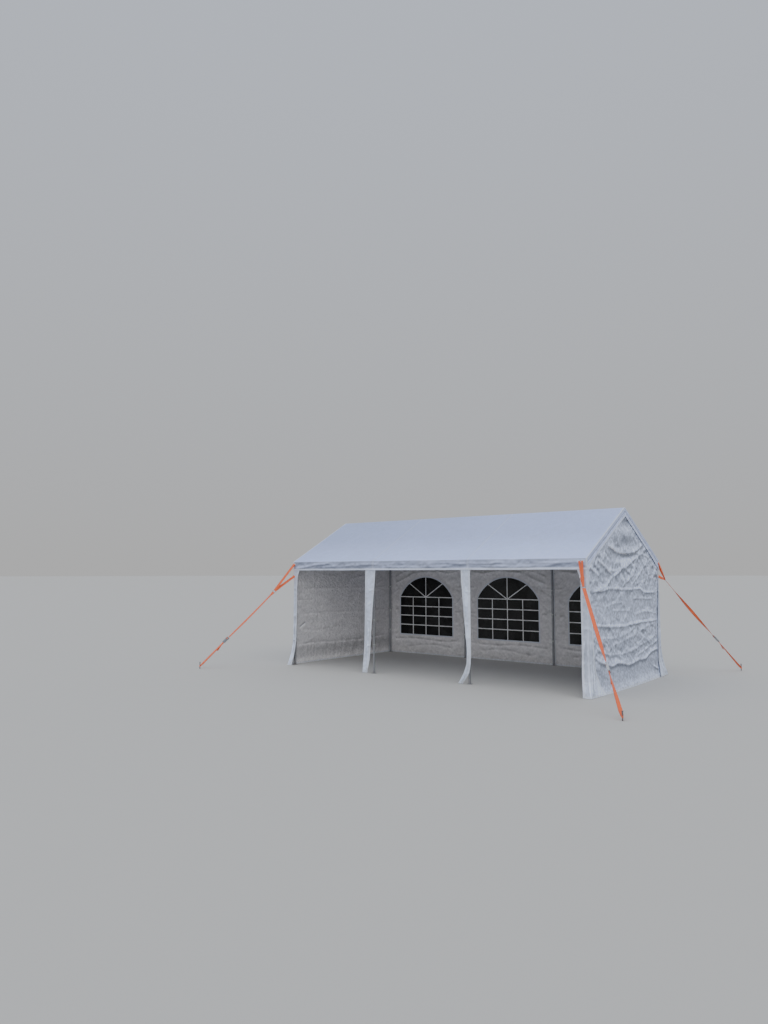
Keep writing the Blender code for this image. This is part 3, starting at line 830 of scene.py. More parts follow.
@shared_group("Fine creases", (("Place", "Vector", None), ("Scale", "Float", 14)),
              ("Height", "Crest", "Facet shade"))
def fine_crease_group(paint, place, scale):
    """Fine sharp creases of handled sheeting: height, crests, and facets of many tones."""
    drift = paint.add("TexNoise", Vector=place, Scale=6)["Color"]
    bent = paint.add("VectorMath", {"operation": "MULTIPLY_ADD"}, _0=drift, _1=(0.08, 0.08, 0.08),
                     _2=place)["Vector"]
    cells = paint.add("TexVoronoi", {"feature": "SMOOTH_F1"}, Vector=bent, Scale=scale * 2.6,
                      Smoothness=0.25)
    facet_shade = paint.add("SeparateColor", Color=cells["Color"])["Red"]
    folds = [abs(paint.noise(scale * factor, 1, 0.4, shift) - 0.5) * share
             for share, factor, shift in ((1, 1, 0.6), (0.45, 2.3, 0.9), (0.2, 5.1, 0.5))]
    height = folds[0] + folds[1] + folds[2]
    return height, height.rise(0.03, 0), facet_shade


@shared_group("Weather", (("Place", "Vector", None), ("Splash height", "Float", 0.35)),
              ("Patches", "Splash", "Streaks"))
def weather_group(paint, place, splash_height):
    """Rain-washed dust: patches over a sheet, and splashes that thin out above the ground."""
    parts = paint.add("SeparateXYZ", Vector=place)
    patches = paint.noise(1.7, 5, 0.62, 0.4).rise(0.38, 0.72)
    specks = paint.noise(38, 6, 0.7).rise(0.42, 0.72)
    splash = (parts["Z"] / splash_height).rise(1, 0) ** 2.2 * specks
    drawn = paint.add("CombineXYZ", X=parts["X"] * 9, Y=parts["Y"] * 9, Z=parts["Z"] * 0.8)
    return patches, splash, paint.noise(1, 4, 0.6, place=drawn["Vector"]).rise(0.5, 0.8)


@shared_group("Steel wear", (("Place", "Vector", None), ("Rust height", "Float", 0.05)),
              ("Crystals", "Scuffs", "Rust"))
def wear_group(paint, place, rust_height):
    """Scuffs and crystals of zinc on steel, with rust that gathers low down."""
    cells = paint.add("TexVoronoi", Vector=place, Scale=95)
    crystals = paint.add("SeparateColor", Color=cells["Color"])["Red"]
    scuffs = paint.noise(46, 7, 0.75, 1.2).rise(0.55, 0.7)
    height = paint.add("SeparateXYZ", Vector=place)["Z"]
    spots = paint.noise(120, 6, 0.7).rise(0.5, 0.62)
    return crystals, scuffs, (height / rust_height).rise(1, 0) * spots


def new_material(name):
    """An empty material, and its wiring in the object's own coordinates."""
    material = bpy.data.materials.new(name)
    material.use_nodes = True
    paint = Wiring(material.node_tree)
    paint.place = paint.add("TexCoord")["Object"]
    return material, paint


def finish_material(material, colour, roughness, height=None, **others):
    """Feed the material's shader, with the height as its bump."""
    paint = Wiring(material.node_tree)
    if height is not None:
        others["Normal"] = paint.add("Bump", Height=height, Distance=1, Strength=1)["Normal"]
    shader = paint.tree.nodes["Principled BSDF"]
    paint.fill(shader, Base_Color=colour, Roughness=roughness, **others)
    return material


def scaled(colour, factor):
    return [min(1, part * factor) for part in colour]


def sheeting_material(name, colour, creasing, gloss, facets):
    """Coated woven sheeting with hems, fine creases, dust and grass splashes."""
    material, paint = new_material(name)
    hem, seam, inside = (paint.attribute(part) for part in ("hem", "seam", "inside"))
    width = sizes().hem
    weave = paint.group(weave_group, Along=paint.attribute("cloth_u"),
                        Across=paint.attribute("cloth_v"), Pitch=0.0052)
    folds = paint.group(fine_crease_group, Place=paint.place, Scale=11)
    weather = paint.group(weather_group, Place=paint.place, Splash_height=0.32)
    band, joint = (part.rise(width, width * 0.94) for part in (hem, seam))
    stitch = abs(hem.math("MINIMUM", seam) - width * 0.86).rise(0.0022, 0.0006)
    # The facets argument sets how strong the painted shading of the small facets is.
    facet_shade = folds["Facet shade"].rise(0.2, 0.8, 1 - facets, 1 + facets)
    dusty = weather["Patches"] * 0.1 + weather["Streaks"] * 0.07
    tone = paint.mix(paint.noise(0.9, 3, 0.55).rise(0.3, 0.75), scaled(colour, 0.965),
                     scaled(colour, 1.02))
    # Painted highlight: the fine crease lines painted whiter.
    tone = paint.mix(folds["Crest"] * 0.3, tone, (0.92, 0.93, 0.95))
    # Painted sky light: outer faces keep the blue, the inner half is tinted warmer and brighter.
    tone = paint.mix(inside, tone, paint.mix(1, tone, (1.4, 1.23, 0.98), "MULTIPLY"))
    # Painted light and shade: the painted shading value scales the colour 0.36 to 1.48 times.
    tone = paint.mix(1, tone, paint.attribute("fold").rise(0, 1, 0.36, 1.48), "MULTIPLY")
    # Painted shading of the small facets, weaker on the inner half.
    tone = paint.mix(inside.rise(0, 1, 1, 0.35), tone, facet_shade, "MULTIPLY")
    for factor, over in ((band * 0.55, colours().trim), (joint * 0.14, colours().trim),
                         (weave["Thread"] * 0.05, (0.42, 0.44, 0.48)), (dusty, (0.4, 0.4, 0.38)),
                         (weather["Splash"] * 0.45, (0.17, 0.18, 0.09)),
                         (stitch * 0.25, (0.3, 0.31, 0.34))):
        tone = paint.mix(factor, tone, over)
    rough = paint.noise(6, 4, 0.6).rise(0.3, 0.7, gloss - 0.06, gloss + 0.08) + dusty
    height = (folds["Height"] * creasing + weave["Height"] * 0.00022 + band * 0.0009
              - stitch * 0.0007)
    return finish_material(material, tone, rough, height, Specular_IOR_Level=0.45)


def trim_material(name, colour):
    """Welded strips and hems: the sheeting's white, smoother and thicker."""
    material, paint = new_material(name)
    folds = paint.group(fine_crease_group, Place=paint.place, Scale=22)
    patches = paint.group(weather_group, Place=paint.place, Splash_height=0.5)["Patches"]
    tone = paint.mix(paint.noise(5, 3), scaled(colour, 0.93), colour)
    tone = paint.mix(patches * 0.16, tone, (0.42, 0.42, 0.4))
    height = folds["Height"] * 0.0025 + paint.noise(420, 2) * 0.0002
    return finish_material(material, tone, patches.rise(0, 1, 0.42, 0.58), height)


def film_material(name):
    """Clear flexible film that shows the dark behind it, with soft waves and scratches."""
    material, paint = new_material(name)
    patches = paint.group(weather_group, Place=paint.place, Splash_height=0.8)["Patches"]
    colour = tuple(colours().film)
    haze_and_reflection = paint.noise(24, 6, 0.7, 2.5).rise(0.52, 0.75)
    # Painted reflection: soft patches of the near black painted lighter.
    tone = paint.mix(paint.noise(3.6, 4, 0.65, 0.6).rise(0.45, 0.7), scaled(colour, 0.5),
                     scaled(colour, 2.6))
    tone = paint.mix(patches * 0.05, tone, (0.1, 0.11, 0.12))
    # Fine haze: scratches, and painted faint reflections.
    tone = paint.mix(haze_and_reflection * 0.1, tone, (0.12, 0.13, 0.14))
    waves = paint.noise(3.4, 2, 0.45, 0.8) * 0.011
    fine = paint.noise(15, 3, 0.5) * 0.0012
    # Nearly opaque, so the painted near black stands in for the view through the film.
    return finish_material(material, tone, haze_and_reflection.rise(0, 1, 0.16, 0.36), waves + fine,
                           Specular_IOR_Level=0.25,
                           Alpha=paint.noise(1.9, 2).rise(0.3, 0.8, 0.965, 0.985))


def webbing_material(name):
    """Woven webbing: herringbone ribs, darker selvedges and rubbed fibres."""
    material, paint = new_material(name)
    along, across = paint.attribute("cloth_v"), paint.attribute("cloth_u")
    weave = paint.group(weave_group, Along=along, Across=across, Pitch=0.0046)
    ribs = ((along + abs(across) * 1.4) * (2 * math.pi / 0.0062)).math("SINE").rise(-1, 1)
    selvedge = paint.attribute("hem").rise(0.0035, 0.0015)
    rubbed_and_highlight = paint.noise(30, 5, 0.7).rise(0.52, 0.75)
    colour = tuple(colours().webbing)
    tone = paint.mix(ribs * 0.4, colour, scaled(colour, 0.66))
    # Worn fibres, which also paint a pale highlight over the orange.
    for factor, over in ((selvedge * 0.55, scaled(colour, 0.55)), (rubbed_and_highlight * 0.34, (1, 0.46, 0.32)),
                         (weave["Thread"] * 0.22, scaled(colour, 0.45))):
        tone = paint.mix(factor, tone, over)
    height = ribs * 0.0004 + weave["Height"] * 0.0004 + selvedge * 0.0005
    return finish_material(material, tone, rubbed_and_highlight.rise(0, 1, 0.62, 0.8), height, Sheen_Weight=0.25,
                           Sheen_Roughness=0.4)


def steel_material(name, colour, rough, rust_height):
    """Zinc-coated steel with crystals, scuffs and a little rust low down."""
    material, paint = new_material(name)
    wear = paint.group(wear_group, Place=paint.place, Rust_height=rust_height)
    crystals, scuffs, rust = wear["Crystals"], wear["Scuffs"], wear["Rust"]
    tone = paint.mix(crystals * 0.5, colour, scaled(colour, 0.72))
    tone = paint.mix(scuffs * 0.45, tone, scaled(colour, 1.45))
    tone = paint.mix(rust * 0.85, tone, (0.16, 0.062, 0.024))
    level = crystals.rise(0, 1, rough - 0.07, rough + 0.09) + rust * 0.35 - scuffs * 0.1
    height = paint.noise(210, 4, 0.6) * 0.0002 + rust * 0.0003
    return finish_material(material, tone, level, height, Metallic=rust.rise(0, 1, 0.92, 0.1))


def cord_material(name):
    """Thin twisted tie cord, off-white and a little dirty."""
    material, paint = new_material(name)
    parts = paint.add("SeparateXYZ", Vector=paint.place)
    along = parts["X"] + parts["Y"] + parts["Z"]
    strand = (along * (2 * math.pi / 0.004)).math("SINE").rise(-1, 1)
    dirt = paint.noise(55, 4, 0.65).rise(0.45, 0.8)
    tone = paint.mix(strand * 0.3, (0.72, 0.72, 0.7), (0.48, 0.48, 0.47))
    tone = paint.mix(dirt * 0.4, tone, (0.33, 0.32, 0.28))
    return finish_material(material, tone, dirt.rise(0, 1, 0.7, 0.85), strand * 0.0006)


def finish(name):
    """One of the tent's materials, made when it is first asked for."""
    if name in bpy.data.materials:
        return bpy.data.materials[name]
    steel = tuple(colours().steel)
    makers = {
        "roof_cloth": (sheeting_material, tuple(colours().roof), 0.01, 0.4, 0.02),
        "wall_cloth": (sheeting_material, tuple(colours().wall), 0.034, 0.42, 0.18),
        "cover_cloth": (sheeting_material, tuple(colours().cover), 0.012, 0.45, 0.04),
        "welded_trim": (trim_material, tuple(colours().trim)),
        "window_bars": (trim_material, (0.98, 0.98, 0.98)),
        "window_border": (trim_material, (0.74, 0.76, 0.84)),
        "galvanised_steel": (steel_material, steel, 0.4, 0.06),
        "zinc_fittings": (steel_material, scaled(steel, 1.25), 0.3, 0.03),
        "scuffed_steel": (steel_material, scaled(steel, 0.7), 0.48, 0.14),
        "clear_film": (film_material,),
        "orange_webbing": (webbing_material,),
        "tie_cord": (cord_material,),
    }
    maker, *given = makers[name]
    return maker(name, *given)


# Roof

def eave_at(x):
    """How a valance's hem rises and falls along its length."""
    return 0.004 * ripple(x / 0.7, 0 * x + 3.1, 5)


def roof_profile(step, inset):
    """Section of the roof sheet: points (y, z), outward normals and length along it."""
    half = WIDTH / 2 - inset
    drop = inset / math.cos(SLOPE)
    corners = [(-half, ROOF_LOW[2]), (-half, EAVE_Z - drop), (0, RIDGE_Z - drop),
               (half, EAVE_Z - drop), (half, ROOF_LOW[2])]
    corners = [np.array(c) for c in corners]
    points = []
    for k, (a, b) in enumerate(zip(corners, corners[1:])):
        along = units(b - a)
        fine = step * 0.6 if k in (0, 3) else step
        start = ROOF_FOLD if k else 0
        end = np.linalg.norm(b - a) - (ROOF_FOLD if k < 3 else 0)
        points += [a + along * s for s in spread(start, end, fine)]
        if k < 3:
            onward = units(corners[k + 2] - b)
            before, after = b - along * ROOF_FOLD, b + onward * ROOF_FOLD
            points += [(1 - t) ** 2 * before + 2 * t * (1 - t) * b + t ** 2 * after
                       for t in (0.25, 0.5, 0.75)]
    points = np.array(points)
    slope = np.gradient(points, axis=0)
    return points, units(np.stack([-slope[:, 1], slope[:, 0]], 1)), length_along(points)


def covered_in_front(x, reach=0.03):
    """1 where a leg cover lies behind the front valance, fading over the reach."""
    near = np.minimum(np.abs(np.abs(x) - COVER_X) - 0.11, np.abs(np.abs(x) - FRAMES[2]) - 0.19)
    return 1 - smooth(0, reach, near)


def roof_relief(x, y, z):
    """Sag, tension folds, seams and hanging folds of the roof sheet."""
    share = np.clip((WIDTH / 2 - np.abs(y)) / (WIDTH / 2), 0, 1)
    bay = (x + AXIS_X) / BAY
    inside = (bay > 0) & (bay < BAYS)
    hang = np.where(inside, np.sin(math.pi * bay) ** 2, 0)
    slope = smooth(EAVE_Z - 0.012, EAVE_Z + 0.01, z)
    sag = -sizes().roof_sag * hang * np.sin(math.pi * share) ** 0.8
    climb = (WIDTH / 2 - np.abs(y)) / math.cos(SLOPE)
    folds = 0
    for k, at in enumerate(FRAMES):
        for lean, reach in ((0.34, 0.62), (0.62, 0.45), (-0.3, 0.5)):
            if abs(at + lean) < LENGTH / 2:
                path = ((at + 0.02 * lean, 0.03), (at + 0.45 * lean, reach * 0.55),
                        (at + lean, reach))
                folds = folds + creases(x, climb, ((path, 0.0035, 0.02, 0.03),), 31 + 3 * k)
    small = 0.0016 * crumple(x, climb + np.where(y < 0, 0, 7), 17, ((0.62, 1), (0.21, 0.45)))
    tube = np.exp(-(np.abs(np.abs((bay + 0.5) % 1 - 0.5) * BAY)) / 0.05)
    pull = 0.0025 * tube * np.sin(math.pi * share) ** 0.3
    on_slope = slope * (sag + (folds + small) * (0.3 + 0.7 * hang) + pull)
    below = np.clip(EAVE_Z - z, 0, EAVE_DROP)
    over_hem = EAVE_DROP - below
    front = y < 0
    table = creases(np.where(front, x, -x), over_hem, VALANCE_CREASES, 51)
    rough = 0.0034 * crumple(x / 2.2, over_hem, 23, ((0.3, 1), (0.11, 0.7), (0.05, 0.4)))
    loose = smooth(0, 0.07, below)
    curl = 0.006 * smooth(0.035, 0, over_hem) * (1 + 0.9 * ripple(x / 0.31, 0 * x + 0.5, 27))
    hanging = loose * (0.75 * table + rough + 0.005 * ripple(x / 0.55, over_hem / 0.4, 29)) + curl
    held = covered_in_front(x)
    hanging = np.maximum(hanging, -0.0006 - 0.006 * (1 - held))
    return on_slope + (1 - slope) * hanging


def make_roof_cover():
    points, normals, length = roof_profile(sizes().roof_step, ROOF_INSET)
    half = LENGTH / 2 - SHEET_END
    columns = [spread(-half, half, sizes().roof_step)]
    for at in FRAMES[1:3]:
        columns.append(np.array(ROOF_SEAM) + at)
    columns = np.unique(np.concatenate(columns).round(5))
    fields = [crossed(columns, part) for part in (*points.T, *normals.T, length)]
    x = fields[0][0]
    y, z, ny, nz, s = (field[1] for field in fields)
    relief = roof_relief(x, y, z)
    seam = np.min([np.abs(x - at) for at in FRAMES[1:3]], axis=0)
    relief = relief + 0.0011 * smooth(0.015, 0.012, seam)
    grid = np.stack([x, y + ny * relief, z + nz * relief], 2)
    below = np.clip(EAVE_Z - z, 0, EAVE_DROP) / EAVE_DROP
    grid[:, :, 2] += eave_at(x) * below
    edge = np.minimum(np.minimum(s, length[-1] - s), half - np.abs(x) + 0.008)
    slope = z > EAVE_Z
    # Painted light: slope lighter near the eave, valances darker, all lighter towards +x.
    tone = np.where(slope, 0.21 * smooth(0.5, 0, z - EAVE_Z), -0.25) + 0.03 * x
    # The valances also take the painted warmer tint of faces away from the sky.
    item = cloth_piece("roof_cover", grid, x + 3, s, edge, "roof_cloth", "roof_sheeting",
                       ("roof_sheet",), seam + 0.006, tone, nz, np.where(slope, 0, 0.45))


def rake_drop(y):
    """Depth of a gable valance, deeper where it meets the eave valance."""
    return RAKE_DROP + (EAVE_DROP - RAKE_DROP) * smooth(1.1, WIDTH / 2, np.abs(y))


def make_rake_valances():
    for side, where in END_SIDES:
        half = WIDTH / 2 - SHEET_END
        y, share = crossed(spread(-half, half, 0.016), even(18))
        top = RIDGE_Z - 0.002 - np.abs(y) * SLOPE_RISE
        z = top - share * rake_drop(y)
        below = share * rake_drop(y)
        rough = 0.003 * crumple(y, below, 33 + side, ((0.24, 1), (0.09, 0.6), (0.045, 0.3)))
        curl = 0.0045 * smooth(0.6, 1, share) * (1 + 0.9 * ripple(y / 0.33, 0 * y, 35 + side))
        corner = smooth(WIDTH / 2, WIDTH / 2 - 0.1, np.abs(y))
        out = np.maximum(smooth(0.08, 0.5, share) * rough * corner, -0.0004) + curl
        grid = np.stack([side * (LENGTH / 2 - 0.001 + out), side * y, z], 2)
        edge = np.minimum(rake_drop(y) - below, half - np.abs(y) + 0.01)
        # Painted shade and highlight: a dark line and, below it, a light line across the valance.
        painted_lines = 0.04 - 0.45 * hump((below, 0.062, 0.008)) + 0.35 * hump((below, 0.08, 0.009))
        # The valance also takes the painted warmer tint of faces away from the sky.
        item = cloth_piece(f"rake_valance_{where}", grid[:, ::-1], y + 2, below, edge[:, ::-1],
                           "roof_cloth", "roof_sheeting", (), None, painted_lines[:, ::-1], None, 0.3)


def make_roof_piping():
    """Rounded welt along the folded edges of the roof sheet."""
    shape = Shape()
    for side in (-1, 1):
        x = side * (LENGTH / 2 - ROOF_INSET)
        half = WIDTH / 2 - ROOF_INSET
        line = [(x, y, RIDGE_Z - 0.0028 - abs(y) * SLOPE_RISE)
                for y in np.linspace(-half, half, 81)]
        shape.pipe(line, 0.003, 8)
        for end in (-half, half):
            foot = [(x, end, z) for z in np.linspace(ROOF_LOW[2] + 0.004, EAVE_Z - 0.004, 9)]
            shape.pipe(foot, 0.0024, 8)
    make_piece(shape, "roof_edge_piping", "welded_trim", "roof_sheeting")


# Walls

def swing(z, top, reach):
    return reach * np.clip((top - z) / top, 0, 1) ** 2


def end_flare(end, y, z):
    share = END_FLARE_EDGE + (1 - END_FLARE_EDGE) * np.cos(math.pi * y / WIDTH)
    return swing(z, END_FLARE_TOP, END_FLARE[end]) * share


def back_flare(x, z):
    return swing(z, BACK_FLARE_TOP, BACK_FLARE) * (1 + BACK_RIPPLE * np.cos(2 * math.pi * x / BAY))


def end_cover_width(z):
    """Width of a corner cover's leg on the end wall, wide at the foot."""
    heights, widths = zip(*END_COVER_WIDTHS)
    return np.interp(z, heights, widths)


def end_wall_limits(y, z):
    """How far an end wall may move out and in before it meets what is beside it."""
    from_cover = COVER_Y - end_cover_width(z) - np.abs(y)
    from_valance = RIDGE_Z - np.abs(y) * SLOPE_RISE - rake_drop(y) - z
    out = 0.0012 + 0.045 * smooth(0, 0.12, np.minimum(from_cover, from_valance))
    from_leg = AXIS_Y - SOCKET_R - np.abs(y)
    from_rafter = RIDGE_Z - 0.055 - np.abs(y) * SLOPE_RISE - z
    inward = 0.0004 + 0.04 * smooth(0, 0.1, np.minimum(from_leg, from_rafter))
    return out, inward


def right_wall_relief(y, z):
    """The crumpled wall that the photograph shows, with its bulge under the peak."""
    smooth_low = smooth(0.3, 0.55, z - 0.06 * y) * 0.8 + 0.2
    smooth_high = 0.35 + 0.65 * smooth(0.16, 0.36, np.hypot(y, z - 2.36))
    crushed = 1 + 0.55 * hump((z, 1.92, 0.22)) - 0.45 * hump((z, 1.2, 0.2))
    depth = sizes().crumple * smooth_low * smooth_high * crushed
    relief = 0.6 * depth * crumple(y, z, 101, ((0.42, 1), (0.2, 0.75), (0.09, 0.3)))
    slanted = ripple((y * 0.35 + z) / 0.085, (y - z * 0.35) / 0.5, 111)
    relief += 0.005 * hump((z, 0.62, 0.2)) * (0.5 - np.abs(slanted) * 1.6)
    relief += creases(y, z, RIGHT_CREASES, 121)
    relief += 0.026 * hump((y, 0, 0.27), (z, 2.36, 0.11))
    relief -= 0.016 * hump((y, -0.05, 0.35), (z, 2, 0.06))
    relief += 0.01 * ripple(y / 1.1, z / 0.9, 131) - 0.012 * hump((z, 1.18, 0.22)) * np.cos(y)
    return relief


def left_wall_relief(y, z):
    """The calmer wall at the other end, pleated near its foot."""
    relief = 0.26 * sizes().crumple * crumple(y, z, 201)
    pleats = smooth(0.4, 0.3, z) * smooth(0, 0.08, z)
    relief += 0.009 * pleats * ripple(y / 0.085, z / 0.6, 211)
    relief += 0.7 * creases(y, z, LEFT_CREASES, 221)
    relief += 0.02 * hump((y, 0.1, 0.3), (z, 2.33, 0.16))
    relief += 0.012 * ripple(y / 1.2, z, 231)
    return relief


def make_end_walls():
    for (side, where), relief_of in zip(END_SIDES, (left_wall_relief, right_wall_relief)):
        edge = WALL_Y - 0.0042
        step = sizes().wall_step
        y, share = crossed(spread(-edge, edge, step), even(round(RIDGE_Z / step)))
        top = RIDGE_Z - (CAD_SHEET_T + SHEET_END) / math.cos(SLOPE) - np.abs(y) * SLOPE_RISE
        z = WALL_EDGE + share * (top - WALL_EDGE)
        out, inward = end_wall_limits(y, z)
        relief = np.clip(relief_of(y, z), -inward, out)
        foot = smooth(0.1, 0, z)
        flare = end_flare(where, y, z) + 0.006 * foot * ripple(y / 0.24, z / 0.2, 141)
        x = WALL_X - WALL_INSET + flare + relief
        grid = np.stack([side * x, y, z], 2)
        hem = np.minimum(np.minimum(z, edge - np.abs(y)), (top - z) * math.cos(SLOPE))
        # Painted light: the foot lighter, a darker band near 0.26 high, a shadow under the peak.
        tone = (0.36 * smooth(0.15, 0.02, z) - 0.21 * hump((z, 0.26, 0.11))
                - 0.26 * smooth(0.24, 0.08, np.hypot(y, z - 2.62)))
        if side < 0:
            grid, y, z, hem, tone = (a[::-1] for a in (grid, y, z, hem, tone))
        item = cloth_piece(f"end_wall_sheet_{where}", grid, y + 2, z, hem, "wall_cloth",
                           "wall_sheeting", (f"end_wall_{where}",), None, tone)


def arch_points(centre, grow, steps):
    """Window outline from the sill's left end, up and over the arch."""
    half = WINDOW_W / 2
    reach = math.asin(half / ARCH_R)
    radius = ARCH_R + grow
    outline = [(centre - half - grow, WINDOW_SILL - grow)]
    for turn in np.linspace(-reach, reach, steps):
        outline.append((centre + radius * math.sin(turn), ARCH_Z + radius * math.cos(turn)))
    outline.append((centre + half + grow, WINDOW_SILL - grow))
    return outline


def outside_arch(u, v):
    """Distance from a window's outline, 0 inside it, u from the window's middle."""
    beside_it = np.abs(u) - WINDOW_W / 2
    over_it = np.hypot(u, v - ARCH_Z) - ARCH_R
    upright = np.where(v > WINDOW_SPRING, over_it, WINDOW_SILL - v)
    return np.maximum(0, np.maximum(beside_it, upright))


def window_centre(bay):
    return (bay - (BAYS - 1) / 2) * LENGTH / BAYS


def make_back_walls():
    panel = 2 * WALL_X / BAYS
    top = EAVE_Z - WALL_UNDER_EAVE
    for bay in range(BAYS):
        start = -WALL_X + bay * panel
        centre = window_centre(bay)
        step = sizes().wall_step
        x, z = crossed(spread(start + WALL_EDGE, start + panel - WALL_EDGE, step),
                       spread(WALL_EDGE, top, step))
        u = x - centre
        calm = smooth(0, 0.1, outside_arch(u, z))
        relief = 0.35 * sizes().crumple * crumple(x, z, 301 + 7 * bay)
        mirror = -1 if bay == 0 else 1
        relief += creases(mirror * u, z, BACK_CREASES, 321 + bay)
        relief += 0.01 * ripple(x / 0.9, z / 0.8, 331)
        post = np.min([np.abs(x - at) for at in FRAMES], axis=0)
        inward = 0.0004 + 0.03 * smooth(SOCKET_R, 0.1, post) * smooth(0.03, 0.16, top - z)
        out = 0.001 + 0.03 * smooth(0.115, 0.2, post) * smooth(0.2, 0.28, EAVE_Z - z + 0.03)
        relief = np.clip(calm * relief, -inward, out)
        foot = smooth(0.1, 0, z)
        flare = back_flare(x, z) + 0.004 * foot * ripple(x / 0.22, z / 0.2, 341)
        grid = np.stack([x, WALL_Y - WALL_INSET + flare + relief, z], 2)
        ends = np.minimum(x - start, start + panel - x)
        hem = np.minimum(np.minimum(z, top - z), ends)
        grid, x, z, hem = (field[::-1] for field in (grid, x, z, hem))
        shape = Shape()
        shape.sheet(grid, sizes().sheet_thickness, cloth_u=x + 4, cloth_v=z, hem=hem,
                    seam=np.ones_like(z))
        item = shape.make(f"back_wall_sheet_{bay + 1}", finish("wall_cloth"), 55)
        hole = Shape()
        outline = [Vector((px, WALL_Y - 0.03, pz)) for px, pz in arch_points(centre, 0, 49)]
        hole.prism(outline, Vector((0, 0.06, 0)))
        combine(item, [hole.make("window_hole", finish("welded_trim"))], "DIFFERENCE")
        finish_piece(item, "wall_sheeting", f"back_wall_{bay + 1}")


def make_windows():
    """Film, welded border and bars of each window."""
    depth = FILM_HIGH[1] - FILM_LOW[1]
    middle = FILM_LOW[1] + depth / 2
    for bay in range(BAYS):
        centre = window_centre(bay)
        left, right = centre - WINDOW_W / 2, centre + WINDOW_W / 2
        x, share = crossed(spread(left - FILM_LAP, right + FILM_LAP, 0.02), even(64))
        u = x - centre
        arch = ARCH_Z + np.sqrt(np.maximum((ARCH_R + FILM_LAP) ** 2 - u ** 2, 0))
        z = WINDOW_SILL - FILM_LAP + share * (arch - WINDOW_SILL + FILM_LAP)
        upright = np.minimum(z - WINDOW_SILL, arch - FILM_LAP - z)
        inside = smooth(0, 0.12, np.minimum(WINDOW_W / 2 - np.abs(u), upright))
        bow = 0.0025 * inside * ripple(x / 0.33, z / 0.3, 401 + bay)
        grid = np.stack([x, middle + bow, z], 2)
        shape = Shape()
        shape.sheet(grid[::-1], depth * 0.6)
        item = make_piece(shape, f"window_film_sheet_{bay + 1}", "clear_film", "window_film",
                          f"window_film_{bay + 1}")
        for part, shape in zip(("bars", "border"), window_trim(centre, middle)):
            make_piece(shape, f"window_{part}_{bay + 1}", f"window_{part}", "wall_sheeting")


def strip(shape, path, width, thickness, middle):
    """A flat strip of even width along a path of (x, z) points, standing on the film."""
    line = np.array(path, float)
    along = units(np.gradient(line, axis=0))
    across = np.stack([-along[:, 1], along[:, 0]], 1)
    rows = []
    for share in (-0.5, -0.36, 0, 0.36, 0.5):
        swell = thickness * (0.3 if abs(share) == 0.5 else 0.5)
        rows.append((line + across * width * share, swell))
    points = []
    for k in range(len(line)):
        for side, lanes in ((-1, rows), (1, rows[::-1])):
            points += [(at[k, 0], middle + side * swell, at[k, 1]) for at, swell in lanes]
    shape.loft(points, 2 * len(rows))


def window_trim(centre, middle):
    """The bars across a film, and the band that covers its welded lap."""
    shape, border = Shape(), Shape()
    width = sizes().bar_width
    outline = arch_points(centre, 0.012, 61)
    foot, last = outline[0], outline.pop()
    outline = [(foot[0], z) for z in np.linspace(foot[1], WINDOW_SPRING, 12)[:-1]] + outline[1:]
    outline += [(last[0], z) for z in np.linspace(WINDOW_SPRING, last[1], 12)[1:]]
    strip(border, outline, BORDER_W, 0.0085, BORDER_Y)
    sill = [(x, foot[1]) for x in np.linspace(foot[0] - BORDER_W / 2, last[0] + BORDER_W / 2, 9)]
    strip(border, sill, BORDER_W, 0.0089, BORDER_Y)
    pane = WINDOW_W / 4
    height = (WINDOW_SPRING - WINDOW_SILL) / 4

    def bar(a, b, thickness):
        line = [(a[0] + (b[0] - a[0]) * t, a[1] + (b[1] - a[1]) * t) for t in even(9)]
        strip(shape, line, width, thickness, middle)

    left, right = centre - WINDOW_W / 2, centre + WINDOW_W / 2
    for k in (1, 2, 3):
        bar((left + k * pane, WINDOW_SILL), (left + k * pane, WINDOW_SPRING), 0.0048)
        bar((left, WINDOW_SILL + k * height), (right, WINDOW_SILL + k * height), 0.0052)
    bar((left, WINDOW_SPRING), (right, WINDOW_SPRING), 0.0056)
    bar((centre, WINDOW_SPRING), (centre, WINDOW_TOP), 0.0048)
    for side in (-1, 1):
        bar((centre, WINDOW_SPRING), (centre + side * FAN_BAR[0], WINDOW_SPRING + FAN_BAR[1]),
            0.005)
    return shape, border


# Leg covers

def corner_outline(z, side_name):
    """A corner cover's line at each height: front edge, corner and end edge."""
    open_foot = swing(z, COVER_FLARE_TOP, 1)
    front_w = 0.102 + 0.018 * open_foot + 0.075 * smooth(1.62, 1.9, z)
    end_w = end_cover_width(z)
    x = COVER_X + end_flare(side_name, COVER_Y, z) + COVER_SIDE_FLARE * open_foot
    y = COVER_Y + COVER_FLARE * open_foot
    return front_w, end_w, x, y


def corner_cover_rows(side_name, z):
    """A cover round the back right corner: its x, its y and the place along it."""
    lanes, bend = 9, 0.016
    front_w, end_w, x, y = corner_outline(z, side_name)
    rows = []
    for t in even(lanes):
        width = t * (front_w - bend)
        rows.append((x - front_w + width, y, width - front_w))
    for t in even(6)[1:-1]:
        turn = t * math.pi / 2
        rows.append((x - bend + bend * math.sin(turn), y - bend + bend * math.cos(turn),
                     -bend + t * 2 * bend))
    for t in even(2 * lanes):
        width = t * (end_w - bend + y - COVER_Y)
        back = y - bend - width
        away = end_flare(side_name, back, z) - end_flare(side_name, COVER_Y, z)
        rows.append((x + away, back, bend + width))
    return (np.concatenate([row[k] + 0 * z for row in rows]) for k in range(3))


